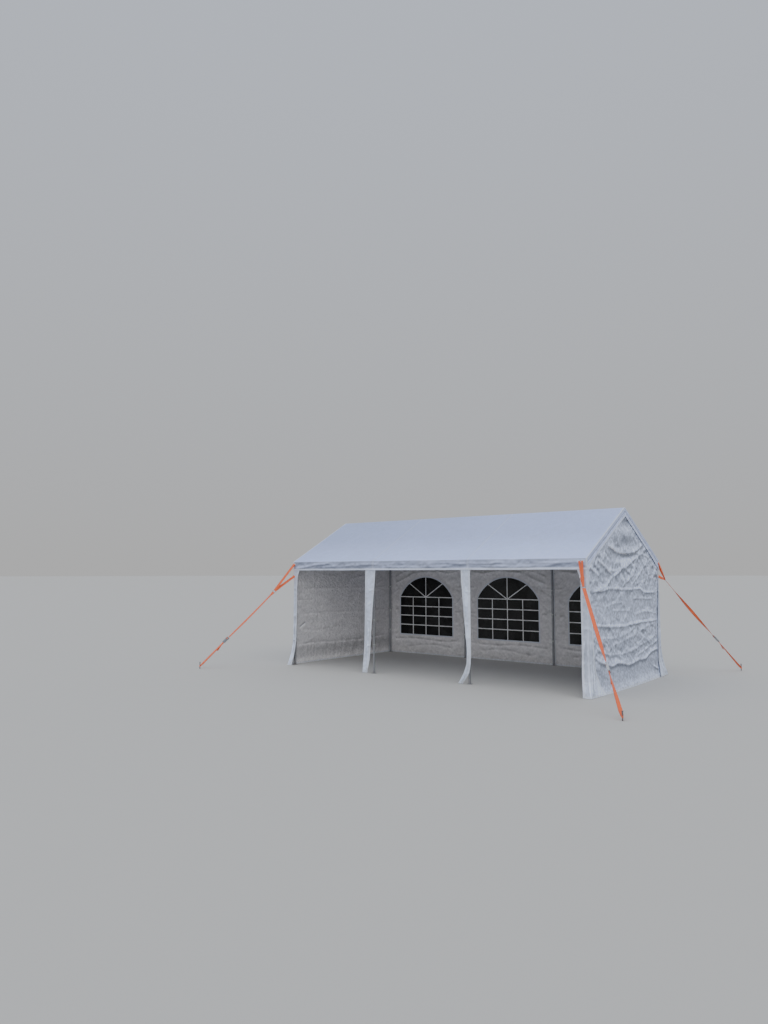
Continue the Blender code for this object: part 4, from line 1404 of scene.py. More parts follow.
def corner_cover_relief(u, v, seed):
    """How far the cover's folds and creases stand out, and the distance to its edges."""
    loose = 0.35 + 0.65 * smooth(1.3, 0.3, v)
    folds = 0.016 * ripple(u / 0.095 + 0.3 * v, v / 1.1, seed) * smooth(1.8, 0.5, v)
    small = crumple(u, v, seed + 3, ((0.3, 1), (0.15, 0.6)))
    relief = loose * folds + 0.16 * sizes().crumple * small
    relief += creases(u, v, cover_creases(seed), seed + 5)
    edge = np.minimum(u - u.min(axis=0), u.max(axis=0) - u)
    relief += 0.008 * smooth(0.05, 0, edge) * smooth(1.75, 1.2, v)
    room = COVER_PLAY + 0.02 * smooth(COVER_HELD_ABOVE, COVER_LOOSE_BELOW, v)
    relief = np.clip(relief, -COVER_PLAY, room) * (0.25 + 0.75 * smooth(0, 0.02, np.abs(u)))
    return relief, edge


def make_corner_covers():
    z = np.concatenate([spread(0.004, 0.7, 0.013), spread(0.72, COVER_TOP, 0.02)])[None, :]
    for side_x, where_x in END_SIDES:
        for side_y, where_y in LONG_SIDES:
            x, y, u = corner_cover_rows(where_x, z)
            v = np.broadcast_to(z, u.shape)
            grid = np.stack([side_x * x, side_y * y, v], 2)
            facing = facings(grid)
            facing *= np.sign(facing[:, :, 0:1] * side_x + facing[:, :, 1:2] * side_y)
            relief, edge = corner_cover_relief(u, v, 500 + 20 * (side_x > 0) + 10 * (side_y > 0))
            grid = grid + facing * relief[:, :, None]
            hem = np.minimum(edge, np.minimum(v, COVER_TOP - v))
            turn = slice(None, None, -1) if side_x * side_y > 0 else slice(None)
            grid, u, v, hem = (a[turn] for a in (grid, u, v, hem))
            corner = f"{where_y}_{where_x}"
            # The foot below the seam is painted lighter.
            item = cloth_piece(f"corner_cover_{corner}", grid, u, v, hem, "cover_cloth",
                               "wall_sheeting", (f"leg_cover_{corner}",), np.abs(v - 0.21) + 0.004,
                               0.16 * smooth(0.24, 0.2, v))


def cover_creases(seed):
    """Cross folds where a cover is tied, and a few upright ones near its foot."""
    table = []
    for k, height in enumerate(TIE_HEIGHTS):
        lean = 0.03 * math.sin(seed + 2.1 * k)
        path = ((-0.11, height), (0, height + lean), (0.12, height - lean))
        table.append((path, 0.003, 0.012, 0.018))
    for k in range(4):
        at = -0.09 + 0.075 * k
        path = ((at, 0.02), (at + 0.012 * math.sin(seed + k), 0.3), (at * 0.7, 0.8))
        table.append((path, 0.01, 0.014, 0.014))
    return tuple(table)


def between(stations, shares, column):
    """A column of the stations at these heights, on a smooth line through them."""
    heights = np.array([s[0] for s in stations])
    values = np.array([s[column] for s in stations])
    slopes = np.gradient(values, heights)
    k = np.clip(np.searchsorted(heights, shares) - 1, 0, len(heights) - 2)
    gap = heights[k + 1] - heights[k]
    t = np.clip((shares - heights[k]) / gap, 0, 1)
    low, high = values[k], values[k + 1]
    start, end = slopes[k] * gap, slopes[k + 1] * gap
    return ((2 * t ** 3 - 3 * t ** 2 + 1) * low + (t ** 3 - 2 * t ** 2 + t) * start
            + (-2 * t ** 3 + 3 * t ** 2) * high + (t ** 3 - t ** 2) * end)


def make_front_middle_cover(where, number):
    stations = MIDDLE_COVERS[where]
    leg = FRAMES[number + 1]
    seed = 600 + 20 * number
    across, shares = crossed(even(15), np.linspace(stations[0][0], 1, 120))
    left, right, left_out, right_out = (between(stations, shares, k) for k in (1, 2, 3, 4))
    z = shares * COVER_TOP
    width = right - left
    x = leg + left + width * across
    x = x + 0.004 * ripple(z / 0.13, 3 * across, seed)
    bowed = 0.014 * np.sin(math.pi * across) * smooth(1.8, 1.2, z)
    bowed = bowed * (1 + ripple(z / 0.35, 0 * z, seed + 1))
    folds = 0.2 * sizes().crumple * crumple(x, z, seed + 2, ((0.25, 1), (0.12, 0.6)))
    folds += creases(x - leg, z, cover_creases(seed), seed + 4)
    out = left_out + (right_out - left_out) * across
    out = out + smooth(1.8, 1.7, z) * (bowed + np.abs(folds)) + COVER_PLAY
    out = np.minimum(out, 0.0012 + 0.12 * smooth(COVER_HELD_ABOVE, 1.66, z))
    grid = np.stack([x, -(COVER_Y - WALL_INSET + out), z], 2)
    edge = np.minimum(across, 1 - across) * width
    hem = np.minimum(edge, np.minimum(z - z.min(), COVER_TOP - z))
    item = cloth_piece(f"middle_cover_front_{where}", grid, x, z, hem, "cover_cloth",
                       "wall_sheeting", (f"leg_cover_front_middle_{where}",))


def make_back_middle_cover(where, number):
    leg = FRAMES[number + 1]
    seed = 608 + 20 * number
    half = BACK_COVER_W / 2
    x, z = crossed(leg + spread(-half, half, 0.014), spread(0.004, COVER_TOP, 0.018))
    folds = 0.2 * sizes().crumple * crumple(x, z, seed, ((0.25, 1), (0.12, 0.5)))
    folds += creases(x - leg, z, cover_creases(seed + 1), seed + 1)
    folds += 0.007 * ripple((x - leg) / 0.09, z / 1.1, seed + 3) * smooth(1.7, 0.6, z)
    room = COVER_PLAY + 0.02 * smooth(COVER_HELD_ABOVE, COVER_LOOSE_BELOW, z)
    out = np.clip(folds, -0.0004, room) + back_flare(x, z)
    grid = np.stack([x, COVER_Y - WALL_INSET + out, z], 2)
    edge = np.minimum(half - np.abs(x - leg), np.minimum(z, COVER_TOP - z))
    item = cloth_piece(f"middle_cover_back_{where}", grid[::-1], x, z, edge, "cover_cloth",
                       "wall_sheeting", (f"leg_cover_back_middle_{where}",))


# Ties and eyelets

def add_tie(shape, x, y, z, inward_x, inward_y, seed):
    """A cord once round a leg, its knot inside the tent and two short tails."""
    reach = SOCKET_R + 0.0002
    around = [(x + reach * math.cos(t), y + reach * math.sin(t), z + 0.003 * math.sin(2 * t + seed))
              for t in turns(24)]
    shape.pipe(around, CORD_R, 6, closed=True)
    lower = [(px, py, pz - 0.0045) for px, py, pz in around]
    shape.pipe(lower, CORD_R, 6, closed=True)
    centre = Vector((x + 0.0265 * inward_x, y + 0.0265 * inward_y, z - 0.002))
    side = Vector((-inward_y, inward_x, 0))
    out = Vector((inward_x, inward_y, 0))
    for lean in (-1, 1):
        loop = [centre + side * lean * 0.02 * math.sin(t) * (1 - 0.2 * math.cos(t))
                + UP * (0.011 * math.sin(2 * t) - 0.004 * math.sin(t)) + out * 0.004 * math.sin(t)
                for t in np.linspace(0, math.pi, 13)]
        shape.pipe(loop, BOW_R, 6)
        tail = 0.055 + 0.03 * math.sin(seed * 1.7 + lean)
        hang = [centre + side * lean * (0.004 + 0.02 * t - 0.012 * t * t)
                + out * 0.006 * math.sin(3 * t) - UP * (tail * t) for t in even(9)]
        shape.pipe(hang, [BOW_R] * 8 + [0.0027], 6)
    knot = [centre + out * 0.002 + UP * (0.0055 * math.sin(t)) + side * 0.0055 * math.cos(t)
            for t in turns(12)]
    shape.pipe(knot, KNOT_R, 8, closed=True)


def make_ties():
    for side, where in LONG_SIDES:
        for number, x in enumerate(FRAMES):
            shape = Shape()
            inward_x = {0: 0.5, BAYS: -0.5}.get(number, 0)
            inward_y = -side * math.sqrt(1 - inward_x ** 2)
            for k, z in enumerate(TIE_HEIGHTS):
                z += 0.02 * math.sin(3.3 * k + 1.9 * number + side)
                add_tie(shape, x, side * AXIS_Y, z, inward_x, inward_y, number + 4 * k + side)
            make_piece(shape, f"leg_ties_{where}_{number + 1}", "tie_cord", "wall_sheeting")


def add_eyelet(shape, centre, axis):
    """A pressed metal ring with a rolled lip on both sides of the sheet."""
    axis, across, third = square_to(axis)
    for face in (-1, 1):
        middle = Vector(centre) + axis * face * 0.0012
        shape.pipe(arc(middle, EYELET_R, across, third, turns(20)), 0.0017, 6, closed=True)


def make_eyelets():
    shape = Shape()
    heights = TIE_HEIGHTS + (1.73,)
    for side in (-1, 1):
        for end in (-1, 1):
            for z in heights:
                place = (side * (WALL_X - WALL_INSET), end * (AXIS_Y - 0.042), z + 0.004)
                add_eyelet(shape, place, RIGHT)
    panel = 2 * WALL_X / BAYS
    for bay in range(BAYS):
        for at in (-1, 1):
            x = (bay - 1) * panel + at * (panel / 2 - 0.035)
            for z in heights:
                add_eyelet(shape, (x, WALL_Y - WALL_INSET, z + 0.004), (0, 1, 0))
    make_piece(shape, "wall_eyelets", "zinc_fittings", "steel_tube")


# Steel frame

def rod(start, end, radius, lip=0):
    """A round solid between two points, its ends cut off by the lip."""
    start, end = Vector(start), Vector(end)
    reach = (end - start).length
    profile = [(radius, 0), (radius, reach)]
    if lip:
        profile = bar_profile(radius, reach, lip, lip)
    shape = Shape()
    shape.turned(start, end - start, profile, sizes().tube_sides)
    return shape.make("rod", finish("galvanised_steel"))


def bar_profile(radius, reach, cut, lip=LIP):
    """A round bar's outline, (radius, height): its ends narrow by the cut over the lip."""
    return [(radius - cut, 0), (radius, lip), (radius, reach - lip), (radius - cut, reach)]


def make_fitting(name, centre, number, side, extra=()):
    """Sleeves around one point with a bore for each tube, as in the frame."""
    arms = level_arms(number) + sloping_arms(side)
    through = 0 < number < BAYS
    sleeves = []
    for arm in arms[1:] if through else arms:
        behind = SLEEVE_PAST if side else SLEEVE_PAST * abs(arm.x)
        if through and arm.x:
            behind = SOCKET_LENGTH
        sleeves.append(rod(centre - behind * arm, centre + SOCKET_LENGTH * arm, SOCKET_R, LIP))
    bores = [rod(centre + (TUBE_SEAT - FIT) * arm, centre + (TUBE_SEAT + SOCKET_LENGTH) * arm,
                 TUBE_R + FIT) for arm in arms]
    body = sleeves.pop(0)
    body.name = name
    combine(body, sleeves + list(extra), "UNION")
    combine(body, bores, "DIFFERENCE")
    body.data.shade_smooth()
    body.data.set_sharp_from_angle(angle=math.radians(32))
    return body


def frame_joint(x, side):
    """Where the tubes' axes meet at an eave, side -1 or 1, or at the ridge, side 0."""
    return Vector((x, side * AXIS_Y, AXIS_EAVE_Z if side else AXIS_RIDGE_Z))


def level_arms(number):
    """Directions of the level tubes from a joint of this frame."""
    return [-RIGHT] * (number > 0) + [RIGHT] * (number < BAYS)


def sloping_arms(side):
    """Directions of the rafters from a joint: up from an eave, or down from the ridge."""
    down = [Vector((0, end * math.cos(SLOPE), -math.sin(SLOPE))) for end in (-1, 1)]
    return {-1: [-down[0]], 0: down, 1: [-down[1]]}[side]


def foot_plate(x, y):
    """Square plate with cut corners and the weld around the leg."""
    shape = Shape()
    shape.box((x, y, PLATE_T / 2), (PLATE_SIZE, PLATE_SIZE, PLATE_T), bevel=0.008)
    plate = shape.make("plate", finish("galvanised_steel"))
    corners = [(x + a * 0.028, y + b * 0.028) for a in (-1, 1) for b in (-1, 1)]
    holes = [rod((*corner, -0.01), (*corner, 0.01), 0.0045) for corner in corners]
    combine(plate, holes, "DIFFERENCE")
    shape = Shape()
    bead = [(0.0235, 0), (0.0225, 0.0025), (0.0185, 0.0055)]
    shape.turned((x, y, PLATE_T - 0.001), UP, bead, sizes().tube_sides)
    return plate, shape.make("weld", finish("galvanised_steel"))


def make_legs():
    for number, x in enumerate(FRAMES):
        for side, where in LONG_SIDES:
            top = frame_joint(x, side)
            plate, weld = foot_plate(x, top.y)
            leg = rod((x, top.y, PLATE_T / 2), top, TUBE_R)
            joint = rod(*((x, top.y, z) for z in LEG_JOINT), TUBE_R + LEG_JOINT_SWELL, LIP)
            collar = rod(top - SOCKET_LENGTH * UP, top + SOCKET_R * 0.4 * UP, SOCKET_R, LIP)
            body = make_fitting(f"steel_leg_{where}_{number + 1}", top, number, side,
                                (leg, joint, collar, plate, weld))
            finish_piece(body, "steel_tube", f"leg_{where}_{number + 1}")


def make_ridge_fittings():
    for number, x in enumerate(FRAMES):
        body = make_fitting(f"steel_ridge_fitting_{number + 1}", frame_joint(x, 0), number, 0)
        finish_piece(body, "steel_tube", f"ridge_fitting_{number + 1}")


def make_tube(node, start, end):
    """A straight tube with a swaged half way joint, pushed home at both ends."""
    along = (end - start).normalized()
    start, end = start + TUBE_SEAT * along, end - TUBE_SEAT * along
    reach = (end - start).length
    middle, swollen, tapered = reach / 2, TUBE_R + TUBE_JOINT_SWELL, TUBE_JOINT + 0.001
    profile = [(TUBE_R - 0.0006, 0), (TUBE_R, LIP), (TUBE_R, middle - tapered),
               (swollen, middle - TUBE_JOINT), (swollen, middle + TUBE_JOINT),
               (TUBE_R, middle + tapered), (TUBE_R, reach - LIP), (TUBE_R - 0.0006, reach)]
    shape = Shape()
    shape.turned(start, along, profile, sizes().tube_sides)
    make_piece(shape, f"steel_{node}", "galvanised_steel", "steel_tube", node, sharp=32)


def make_tubes():
    ridge = [frame_joint(x, 0) for x in FRAMES]
    for side, where in LONG_SIDES:
        eave = [frame_joint(x, side) for x in FRAMES]
        for k in range(BAYS):
            make_tube(f"eave_tube_{where}_{k + 1}", eave[k], eave[k + 1])
        for k in range(BAYS + 1):
            make_tube(f"rafter_{where}_{k + 1}", eave[k], ridge[k])
    for k in range(BAYS):
        make_tube(f"ridge_tube_{k + 1}", ridge[k], ridge[k + 1])


def add_bolt(shape, base, axis):
    """Wing bolt with its washer and nut, screwed into a sleeve."""
    axis, across, third = square_to(axis)
    for lift, sides, profile in BOLT_PARTS:
        shape.turned(base + axis * lift, axis, profile, sides)
    for lean in (-1, 1):
        centre = base + axis * 0.016 + across * lean * 0.008
        wing, rise = across * lean + axis * 0.5, axis - across * lean * 0.5
        axes = (wing.normalized(), third, rise.normalized())
        shape.box(centre, (0.013, 0.0026, 0.01), axes, bevel=0.0012)


def make_bolts():
    """Wing bolts under every sleeve, at the two eaves and at the ridge."""
    for name, sides in (("eave", (-1, 1)), ("ridge", (0,))):
        shape = Shape()
        for side in sides:
            inside = Vector((0, -side, -1)).normalized()
            for number, x in enumerate(FRAMES):
                centre = frame_joint(x, side)
                for arm in level_arms(number):
                    add_bolt(shape, centre + arm * BOLT_AT + inside * SOCKET_R, inside)
                for arm in sloping_arms(side):
                    below = arm.cross(RIGHT).normalized()
                    below = below if below.z < 0 else -below
                    add_bolt(shape, centre + arm * BOLT_AT + below * SOCKET_R, below)
                if side:
                    add_bolt(shape, centre + Vector((0, -side * SOCKET_R, -BOLT_AT)), (0, -side, 0))
        make_piece(shape, f"{name}_wing_bolts", "zinc_fittings", "steel_tube")


# Straps and pegs

def corner_point(sides, out_x, out_y, z):
    return Vector((sides[0] * (LENGTH / 2 + out_x), sides[1] * (WIDTH / 2 + out_y), z))


def ribbon(shape, path, across, width, offset=0, lanes=7):
    """Webbing along a path: its own direction across at each point, and its width."""
    path = [Vector(p) for p in path]
    line = np.array(path)
    along = units(np.gradient(line, axis=0))
    sideways = np.array([Vector(a) for a in across])
    sideways -= along * np.sum(sideways * along, axis=1, keepdims=True)
    sideways = units(sideways)
    normal = np.cross(sideways, along)
    widths = np.broadcast_to(width, (len(path),))
    share = np.linspace(-0.5, 0.5, lanes)
    passed = length_along(line)
    grid = line[None, :, :] + (share[:, None] * widths[None, :])[:, :, None] * sideways[None, :, :]
    cup = 0.0012 * (1 - (2 * share[:, None]) ** 2) * np.sin(passed[None, :] / 0.13)
    grid = grid + (offset + cup)[:, :, None] * normal[None, :, :]
    u = share[:, None] * widths[None, :]
    v = np.broadcast_to(passed[None, :], u.shape)
    hem = widths[None, :] / 2 - np.abs(u)
    grid, u, v, hem = (field[::-1] for field in (grid, u, v, hem))
    shape.sheet(grid, sizes().strap_thickness, cloth_u=u, cloth_v=v, hem=hem)


def turned_across(first, last, count):
    """Directions that turn evenly from the first to the last."""
    first, last = Vector(first).normalized(), Vector(last).normalized()
    if first.dot(last) < 0:
        last = -last
    return [first.slerp(last, t ** 3) for t in even(count)]


def loop_start(name, number):
    """Where one strand of a strap's loops leaves the tent, and outwards there."""
    side_x, side_y = STRAPS[name][0]
    face, along = LOOPS[name][number]
    if number < 2:
        x, y, z = LENGTH / 2 + 0.0022, WIDTH / 2 + 0.0022, EAVE_Z - 0.045
    else:
        x, y, z = COVER_X + 0.0012, COVER_Y + 0.0012, EAVE_Z - EAVE_DROP - 0.11
    if face == "y":
        return Vector((side_x * (x - along), side_y * y, z)), Vector((0, side_y, 0))
    return Vector((side_x * x, side_y * (y - along), z)), Vector((side_x, 0, 0))


def twist_at(name, share):
    return float(np.interp(share, *zip(*TWISTS[name])))


def make_strap(name):
    sides, (ring_x, ring_y, ring_drop), (peg_x, peg_y) = STRAPS[name]
    ring = corner_point(sides, ring_x, ring_y, EAVE_Z - ring_drop)
    peg = corner_point(sides, peg_x, peg_y, 0)
    level = Vector((peg.x - ring.x, peg.y - ring.y, 0)).normalized()
    tie = Vector((peg.x, peg.y, PEG_TIE_Z)) - (PEG_R + 0.002) * level
    run = (tie - ring).normalized()
    across = run.cross(UP).normalized()
    normal = across.cross(run)
    normal = normal if normal.z > 0 else -normal
    width = sizes().strap_width

    def turned(share):
        """Across and outwards of the webbing at this share of the run."""
        angle = twist_at(name, share)
        return (across * math.cos(angle) + normal * math.sin(angle),
                normal * math.cos(angle) - across * math.sin(angle))

    def length_of(first, last, count, sag=0):
        """Points of the run between two shares of it, and their directions."""
        shares = np.linspace(first, last, count)
        drop = [sag * math.sin(math.pi * t) for t in even(count)]
        points = [ring.lerp(tie, t) - UP * d for t, d in zip(shares, drop)]
        return points, [turned(t)[0] for t in shares]

    webbing = Shape()
    for number in range(4):
        start, out = loop_start(name, number)
        to_ring = (ring - start).normalized()
        layer = 0.0006 + 0.0032 * (number % 2)
        path = [start - out * 0.004 - to_ring * 0.01, start + out * (layer + 0.0004)]
        path += [start.lerp(ring, t) + out * (layer + 0.004 * math.sin(math.pi * t))
                 for t in np.linspace(0.04, 0.97, 14)]
        sideways = out.cross(to_ring)
        directions = [sideways] * 2 + turned_across(sideways, turned(0)[0], 14)
        full = width * LOOP_WIDTHS[name]
        shrink = [full] * 2 + list(np.linspace(full, full * 0.94, 14))
        ribbon(webbing, path, directions, np.array(shrink))
    reach = (tie - ring).length
    half_ratchet = 0.45 * RATCHET_L / reach
    upper, directions = length_of(0.022 / reach, RATCHET_AT - half_ratchet, 34, 0.01)
    ribbon(webbing, upper, directions, width)
    sewn, directions = length_of(0.02 / reach, 0.15 / reach, 8)
    ribbon(webbing, [p - turned(0.05)[1] * 0.0032 for p in sewn], directions, width)
    lower, directions = length_of(RATCHET_AT + half_ratchet, 1 - 0.07 / reach, 14)
    ends, end_directions = length_of(1 - 0.05 / reach, 1, 4)
    shrink = np.array([width] * 14 + list(np.linspace(width * 0.92, 0.03, 4)))
    ribbon(webbing, lower + ends, directions + end_directions, shrink)
    outward = turned(0.9)[1]
    doubled = [p + outward * 0.0038 for p in lower + ends]
    ribbon(webbing, doubled, directions + end_directions, shrink * 0.98)
    ratchet = ring.lerp(tie, RATCHET_AT)
    ratchet_across, ratchet_out = turned(RATCHET_AT)
    tail = [ratchet + run * (0.03 + 0.2 * t) + ratchet_out * (0.01 - 0.012 * t)
            - UP * 0.03 * t * t for t in even(14)]
    ribbon(webbing, tail, turned_across(ratchet_across, turned(RATCHET_AT + 0.12)[0], 14),
           width * 0.94)
    around = arc(peg + PEG_TIE_Z * UP, PEG_R + 0.0022, level, level.cross(UP),
                 np.linspace(0.25, 2 * math.pi - 0.25, 22))
    ribbon(webbing, around, [UP] * 22, 0.03)
    make_piece(webbing, f"strap_webbing_{name}", "orange_webbing", "webbing", f"guy_strap_{name}",
               sharp=50)
    make_ring(name, ring, run, *turned(0))
    make_ratchet(name, ratchet, run, ratchet_across, ratchet_out)
    make_stitches(name, ring + run * 0.115, run, *turned(0.05))


def make_ring(name, ring, run, across, normal):
    """Welded steel ring with flat sides that joins the loop to the strap."""
    half = sizes().strap_width / 2 + 0.004
    shape = Shape()
    path = []
    for side, end in ((-1, -1), (1, -1), (1, 1), (-1, 1)):
        for t in (-0.6, -0.2, 0.2, 0.6):
            angle = math.radians(45) + t * math.radians(75)
            if side * end < 0:
                angle = math.radians(90) - angle
            path.append(ring + across * side * (half - 0.009 + 0.009 * math.cos(angle))
                        + run * end * (0.016 - 0.009 + 0.009 * math.sin(angle)))
    shape.pipe(path, 0.003, 10, closed=True)
    make_piece(shape, f"strap_ring_{name}", "zinc_fittings", "webbing")


def make_ratchet(name, centre, run, across, normal):
    """Ratchet tensioner: side plates, axles, wound webbing and the folded handle."""
    steel, wound = Shape(), Shape()
    axes = (run, across, normal)
    reach = sizes().strap_width / 2
    for side in (-1, 1):
        plate = centre + across * side * (reach + 0.0022)
        steel.box(plate, (0.128, 0.0024, 0.021), axes)
        handle = plate + across * side * 0.003 + run * 0.012 + normal * 0.01
        steel.box(handle, (0.118, 0.0022, 0.016), axes)
        gear = centre + across * side * (reach + 0.0052) - run * 0.03
        profile = [(0.0125, 0), (0.0135, 0.0006), (0.0135, 0.0024), (0.0125, 0.003)]
        steel.turned(gear - across * 0.0015, across, profile, 14)
    bar = reach + 0.0085
    for at, lift, thick in RATCHET_AXLES:
        steel.turned(centre + run * at + normal * lift - across * bar, across,
                     bar_profile(thick, 2 * bar, 0.0006), 18)
    steel.box(centre + run * 0.022 + normal * 0.0165, (0.072, 2 * reach, 0.0022), axes)
    for k, radius in enumerate((0.0085, 0.0112, 0.0138)):
        path = arc(centre - run * 0.03, radius, run, normal,
                   np.linspace(0.2 * k, 2 * math.pi - 0.25 + 0.2 * k, 26))
        ribbon(wound, path, [across] * 26, 2 * reach * 0.94)
    make_piece(steel, f"ratchet_{name}", "zinc_fittings", "webbing", sharp=32)
    make_piece(wound, f"ratchet_roll_{name}", "orange_webbing", "webbing", sharp=50)


def make_stitches(name, centre, run, across, normal):
    """Boxed stitching where the webbing is sewn back on itself."""
    shape = Shape()
    half, reach = sizes().strap_width * 0.36, 0.03
    top = normal * 0.0018
    low, right, high, left = (-reach, -half), (reach, -half), (reach, half), (-reach, half)
    seams = ((low, right), (left, high), (low, left), (right, high), (low, high), (left, right))
    for (a0, b0), (a1, b1) in seams:
        size = math.hypot(a1 - a0, b1 - b0)
        for k in range(int(size / STITCH)):
            t0, t1 = (k * STITCH + 0.0007) / size, (k * STITCH + 0.0038) / size
            ends = [centre + run * (a0 + (a1 - a0) * t) + across * (b0 + (b1 - b0) * t) + top
                    for t in (t0, t1)]
            middle = (ends[0] + ends[1]) / 2 + normal * 0.0007
            shape.pipe([ends[0], middle, ends[1]], 0.0005, 5)
    make_piece(shape, f"strap_stitching_{name}", "orange_webbing", "webbing")


def make_strap_slots():
    """Welded patches with a slit where the loops come through the sheets."""
    shape = Shape()
    for name in STRAPS:
        for number in range(4):
            start, out = loop_start(name, number)
            axes = out.cross(UP), UP, out
            shape.box(start - out * 0.0008, (0.058, 0.026, 0.0016), axes, bevel=0.006)
    make_piece(shape, "strap_slot_patches", "welded_trim", "roof_sheeting")


def make_peg(name):
    sides, _, (peg_x, peg_y) = STRAPS[name]
    peg = corner_point(sides, peg_x, peg_y, 0)
    shape = Shape()
    shape.turned(peg, UP, PEG_PROFILE, 28)
    make_piece(shape, f"peg_{name}", "scuffed_steel", "peg_steel", f"ground_peg_{name}", sharp=32)


# Stage

def make_stage():
    scene = bpy.context.scene
    settings = scene.marquee_stage
    shape = Shape()
    shape.turned((0, 0, -0.0004), (0, 0, -1), [(FLOOR_R, 0), (FLOOR_R, 0.02)], 96)
    material, paint = new_material("stage_floor")
    floor = tuple(settings.floor)
    finish_material(material, paint.mix(paint.noise(3, 4), scaled(floor, 0.985), floor), 0.9)
    shape.make("stage_floor", material)
    world = bpy.data.worlds.new("soft_dome")
    scene.world = world
    world.use_nodes = True
    paint = Wiring(world.node_tree)
    high = paint.add("SeparateXYZ", Vector=paint.add("TexCoord")["Generated"])["Z"].rise(0, 0.9)
    tone = paint.mix(high, (0.5, 0.5, 0.5), (0.6, 0.66, 0.78))
    paint.fill(paint.tree.nodes["Background"], Color=tone, Strength=settings.sky_strength)
    add_light("key_overhead", (-0.15, -0.25, 1), 60, settings.key_strength)
    add_light("side_high", (0.95, -0.1, 1), 25, settings.key_strength * 0.4)
    add_light("fill_front", (0.65, -0.9, 0.34), 60, settings.key_strength * 1.2)
    make_camera(scene)


def make_camera(scene):
    """The camera at the photograph's place and angle."""
    data = bpy.data.cameras.new("photo_camera")
    data.lens = CAMERA_LENS
    data.sensor_width = 36
    data.clip_end = 900
    camera = bpy.data.objects.new("photo_camera", data)
    scene.collection.objects.link(camera)
    forward = Vector((math.sin(CAMERA_YAW) * math.cos(CAMERA_PITCH),
                      math.cos(CAMERA_YAW) * math.cos(CAMERA_PITCH), math.sin(CAMERA_PITCH)))
    camera.location = CAMERA_PLACE
    turn = forward.to_track_quat("-Z", "Y").to_matrix().to_4x4()
    camera.rotation_euler = turn.to_euler()
    camera.rotation_euler.rotate_axis("Z", CAMERA_ROLL)
    scene.camera = camera


def add_light(name, towards, spread_angle, strength):
    """A soft distant light that shines from this direction."""
    data = bpy.data.lights.new(name, "SUN")
    data.angle = math.radians(spread_angle)
    data.energy = strength
    light = bpy.data.objects.new(name, data)
    light.location = Vector(towards) * 8
    light.rotation_euler = Vector(towards).to_track_quat("Z", "Y").to_euler()
    bpy.context.scene.collection.objects.link(light)


# Operators and panel

class MARQUEE_OT_roof(bpy.types.Operator):
    """Make the roof sheet with its valances and piping"""
    bl_idname = "marquee.roof"
    bl_label = "Roof sheet"

    def execute(self, context):
        make_roof_cover()
        make_rake_valances()
        make_roof_piping()
        return {"FINISHED"}


class MARQUEE_OT_end_walls(bpy.types.Operator):
    """Make the two plain end walls"""
    bl_idname = "marquee.end_walls"
    bl_label = "End walls"

    def execute(self, context):
        make_end_walls()
        return {"FINISHED"}


class MARQUEE_OT_back_walls(bpy.types.Operator):
    """Make the back walls with their arched openings"""
    bl_idname = "marquee.back_walls"
    bl_label = "Back walls"

    def execute(self, context):
        make_back_walls()
        return {"FINISHED"}


class MARQUEE_OT_windows(bpy.types.Operator):
    """Make the window films, borders and bars"""
    bl_idname = "marquee.windows"
    bl_label = "Windows"

    def execute(self, context):
        make_windows()
        return {"FINISHED"}


class MARQUEE_OT_leg_covers(bpy.types.Operator):
    """Make the strips that cover the legs"""
    bl_idname = "marquee.leg_covers"
    bl_label = "Leg covers"

    def execute(self, context):
        make_corner_covers()
        for number, where in enumerate(MIDDLE_COVERS):
            make_front_middle_cover(where, number)
            make_back_middle_cover(where, number)
        return {"FINISHED"}


class MARQUEE_OT_fastenings(bpy.types.Operator):
    """Make the ties round the legs and the eyelets in the walls"""
    bl_idname = "marquee.fastenings"
    bl_label = "Ties and eyelets"

    def execute(self, context):
        make_ties()
        make_eyelets()
        return {"FINISHED"}


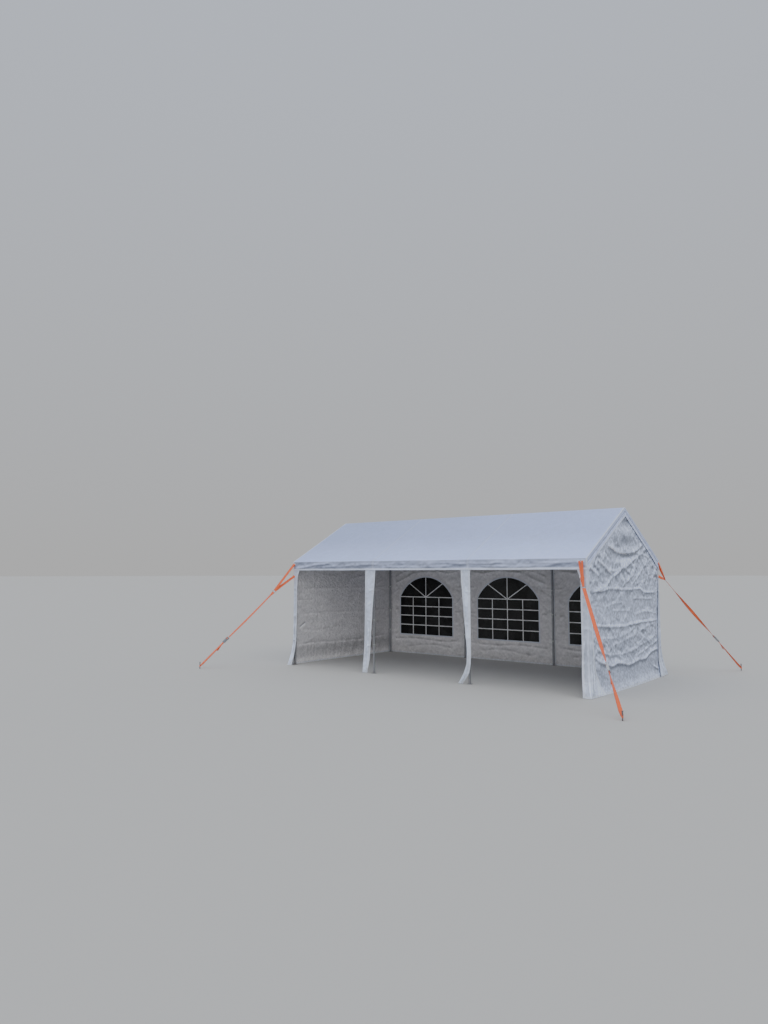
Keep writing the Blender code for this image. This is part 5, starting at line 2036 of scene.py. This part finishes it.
class MARQUEE_OT_steel_frame(bpy.types.Operator):
    """Make the legs, fittings, tubes and bolts"""
    bl_idname = "marquee.steel_frame"
    bl_label = "Steel frame"

    def execute(self, context):
        make_legs()
        make_ridge_fittings()
        make_tubes()
        make_bolts()
        return {"FINISHED"}


class MARQUEE_OT_straps(bpy.types.Operator):
    """Make the ratchet straps and their pegs"""
    bl_idname = "marquee.straps"
    bl_label = "Straps and pegs"

    def execute(self, context):
        for name in STRAPS:
            make_strap(name)
            make_peg(name)
        make_strap_slots()
        return {"FINISHED"}


class MARQUEE_OT_stage(bpy.types.Operator):
    """Make the floor, the soft light and the camera"""
    bl_idname = "marquee.stage"
    bl_label = "Stage"

    def execute(self, context):
        make_stage()
        return {"FINISHED"}


STEPS = (MARQUEE_OT_stage, MARQUEE_OT_steel_frame, MARQUEE_OT_roof, MARQUEE_OT_end_walls,
         MARQUEE_OT_back_walls, MARQUEE_OT_windows, MARQUEE_OT_leg_covers, MARQUEE_OT_fastenings,
         MARQUEE_OT_straps)


class MARQUEE_PT_panel(bpy.types.Panel):
    bl_idname = "MARQUEE_PT_panel"
    bl_label = "Marquee tent"
    bl_space_type = "VIEW_3D"
    bl_region_type = "UI"
    bl_category = "Marquee"

    def draw(self, context):
        for group in (context.scene.marquee_sizes, context.scene.marquee_colours,
                      context.scene.marquee_stage):
            box = self.layout.box()
            for name in group.__annotations__:
                box.prop(group, name)
        for step in STEPS:
            self.layout.operator(step.bl_idname)


CLASSES = (MarqueeSizes, MarqueeColours, MarqueeStage) + STEPS + (MARQUEE_PT_panel,)


def register():
    for item in CLASSES:
        bpy.utils.register_class(item)
    bpy.types.Scene.marquee_sizes = PointerProperty(type=MarqueeSizes)
    bpy.types.Scene.marquee_colours = PointerProperty(type=MarqueeColours)
    bpy.types.Scene.marquee_stage = PointerProperty(type=MarqueeStage)


def unregister():
    del bpy.types.Scene.marquee_stage
    del bpy.types.Scene.marquee_colours
    del bpy.types.Scene.marquee_sizes
    for item in reversed(CLASSES):
        bpy.utils.unregister_class(item)


def main():
    register()
    for step in STEPS:
        group, name = step.bl_idname.split(".")
        getattr(getattr(bpy.ops, group), name)()


if __name__ == "__main__":
    main()
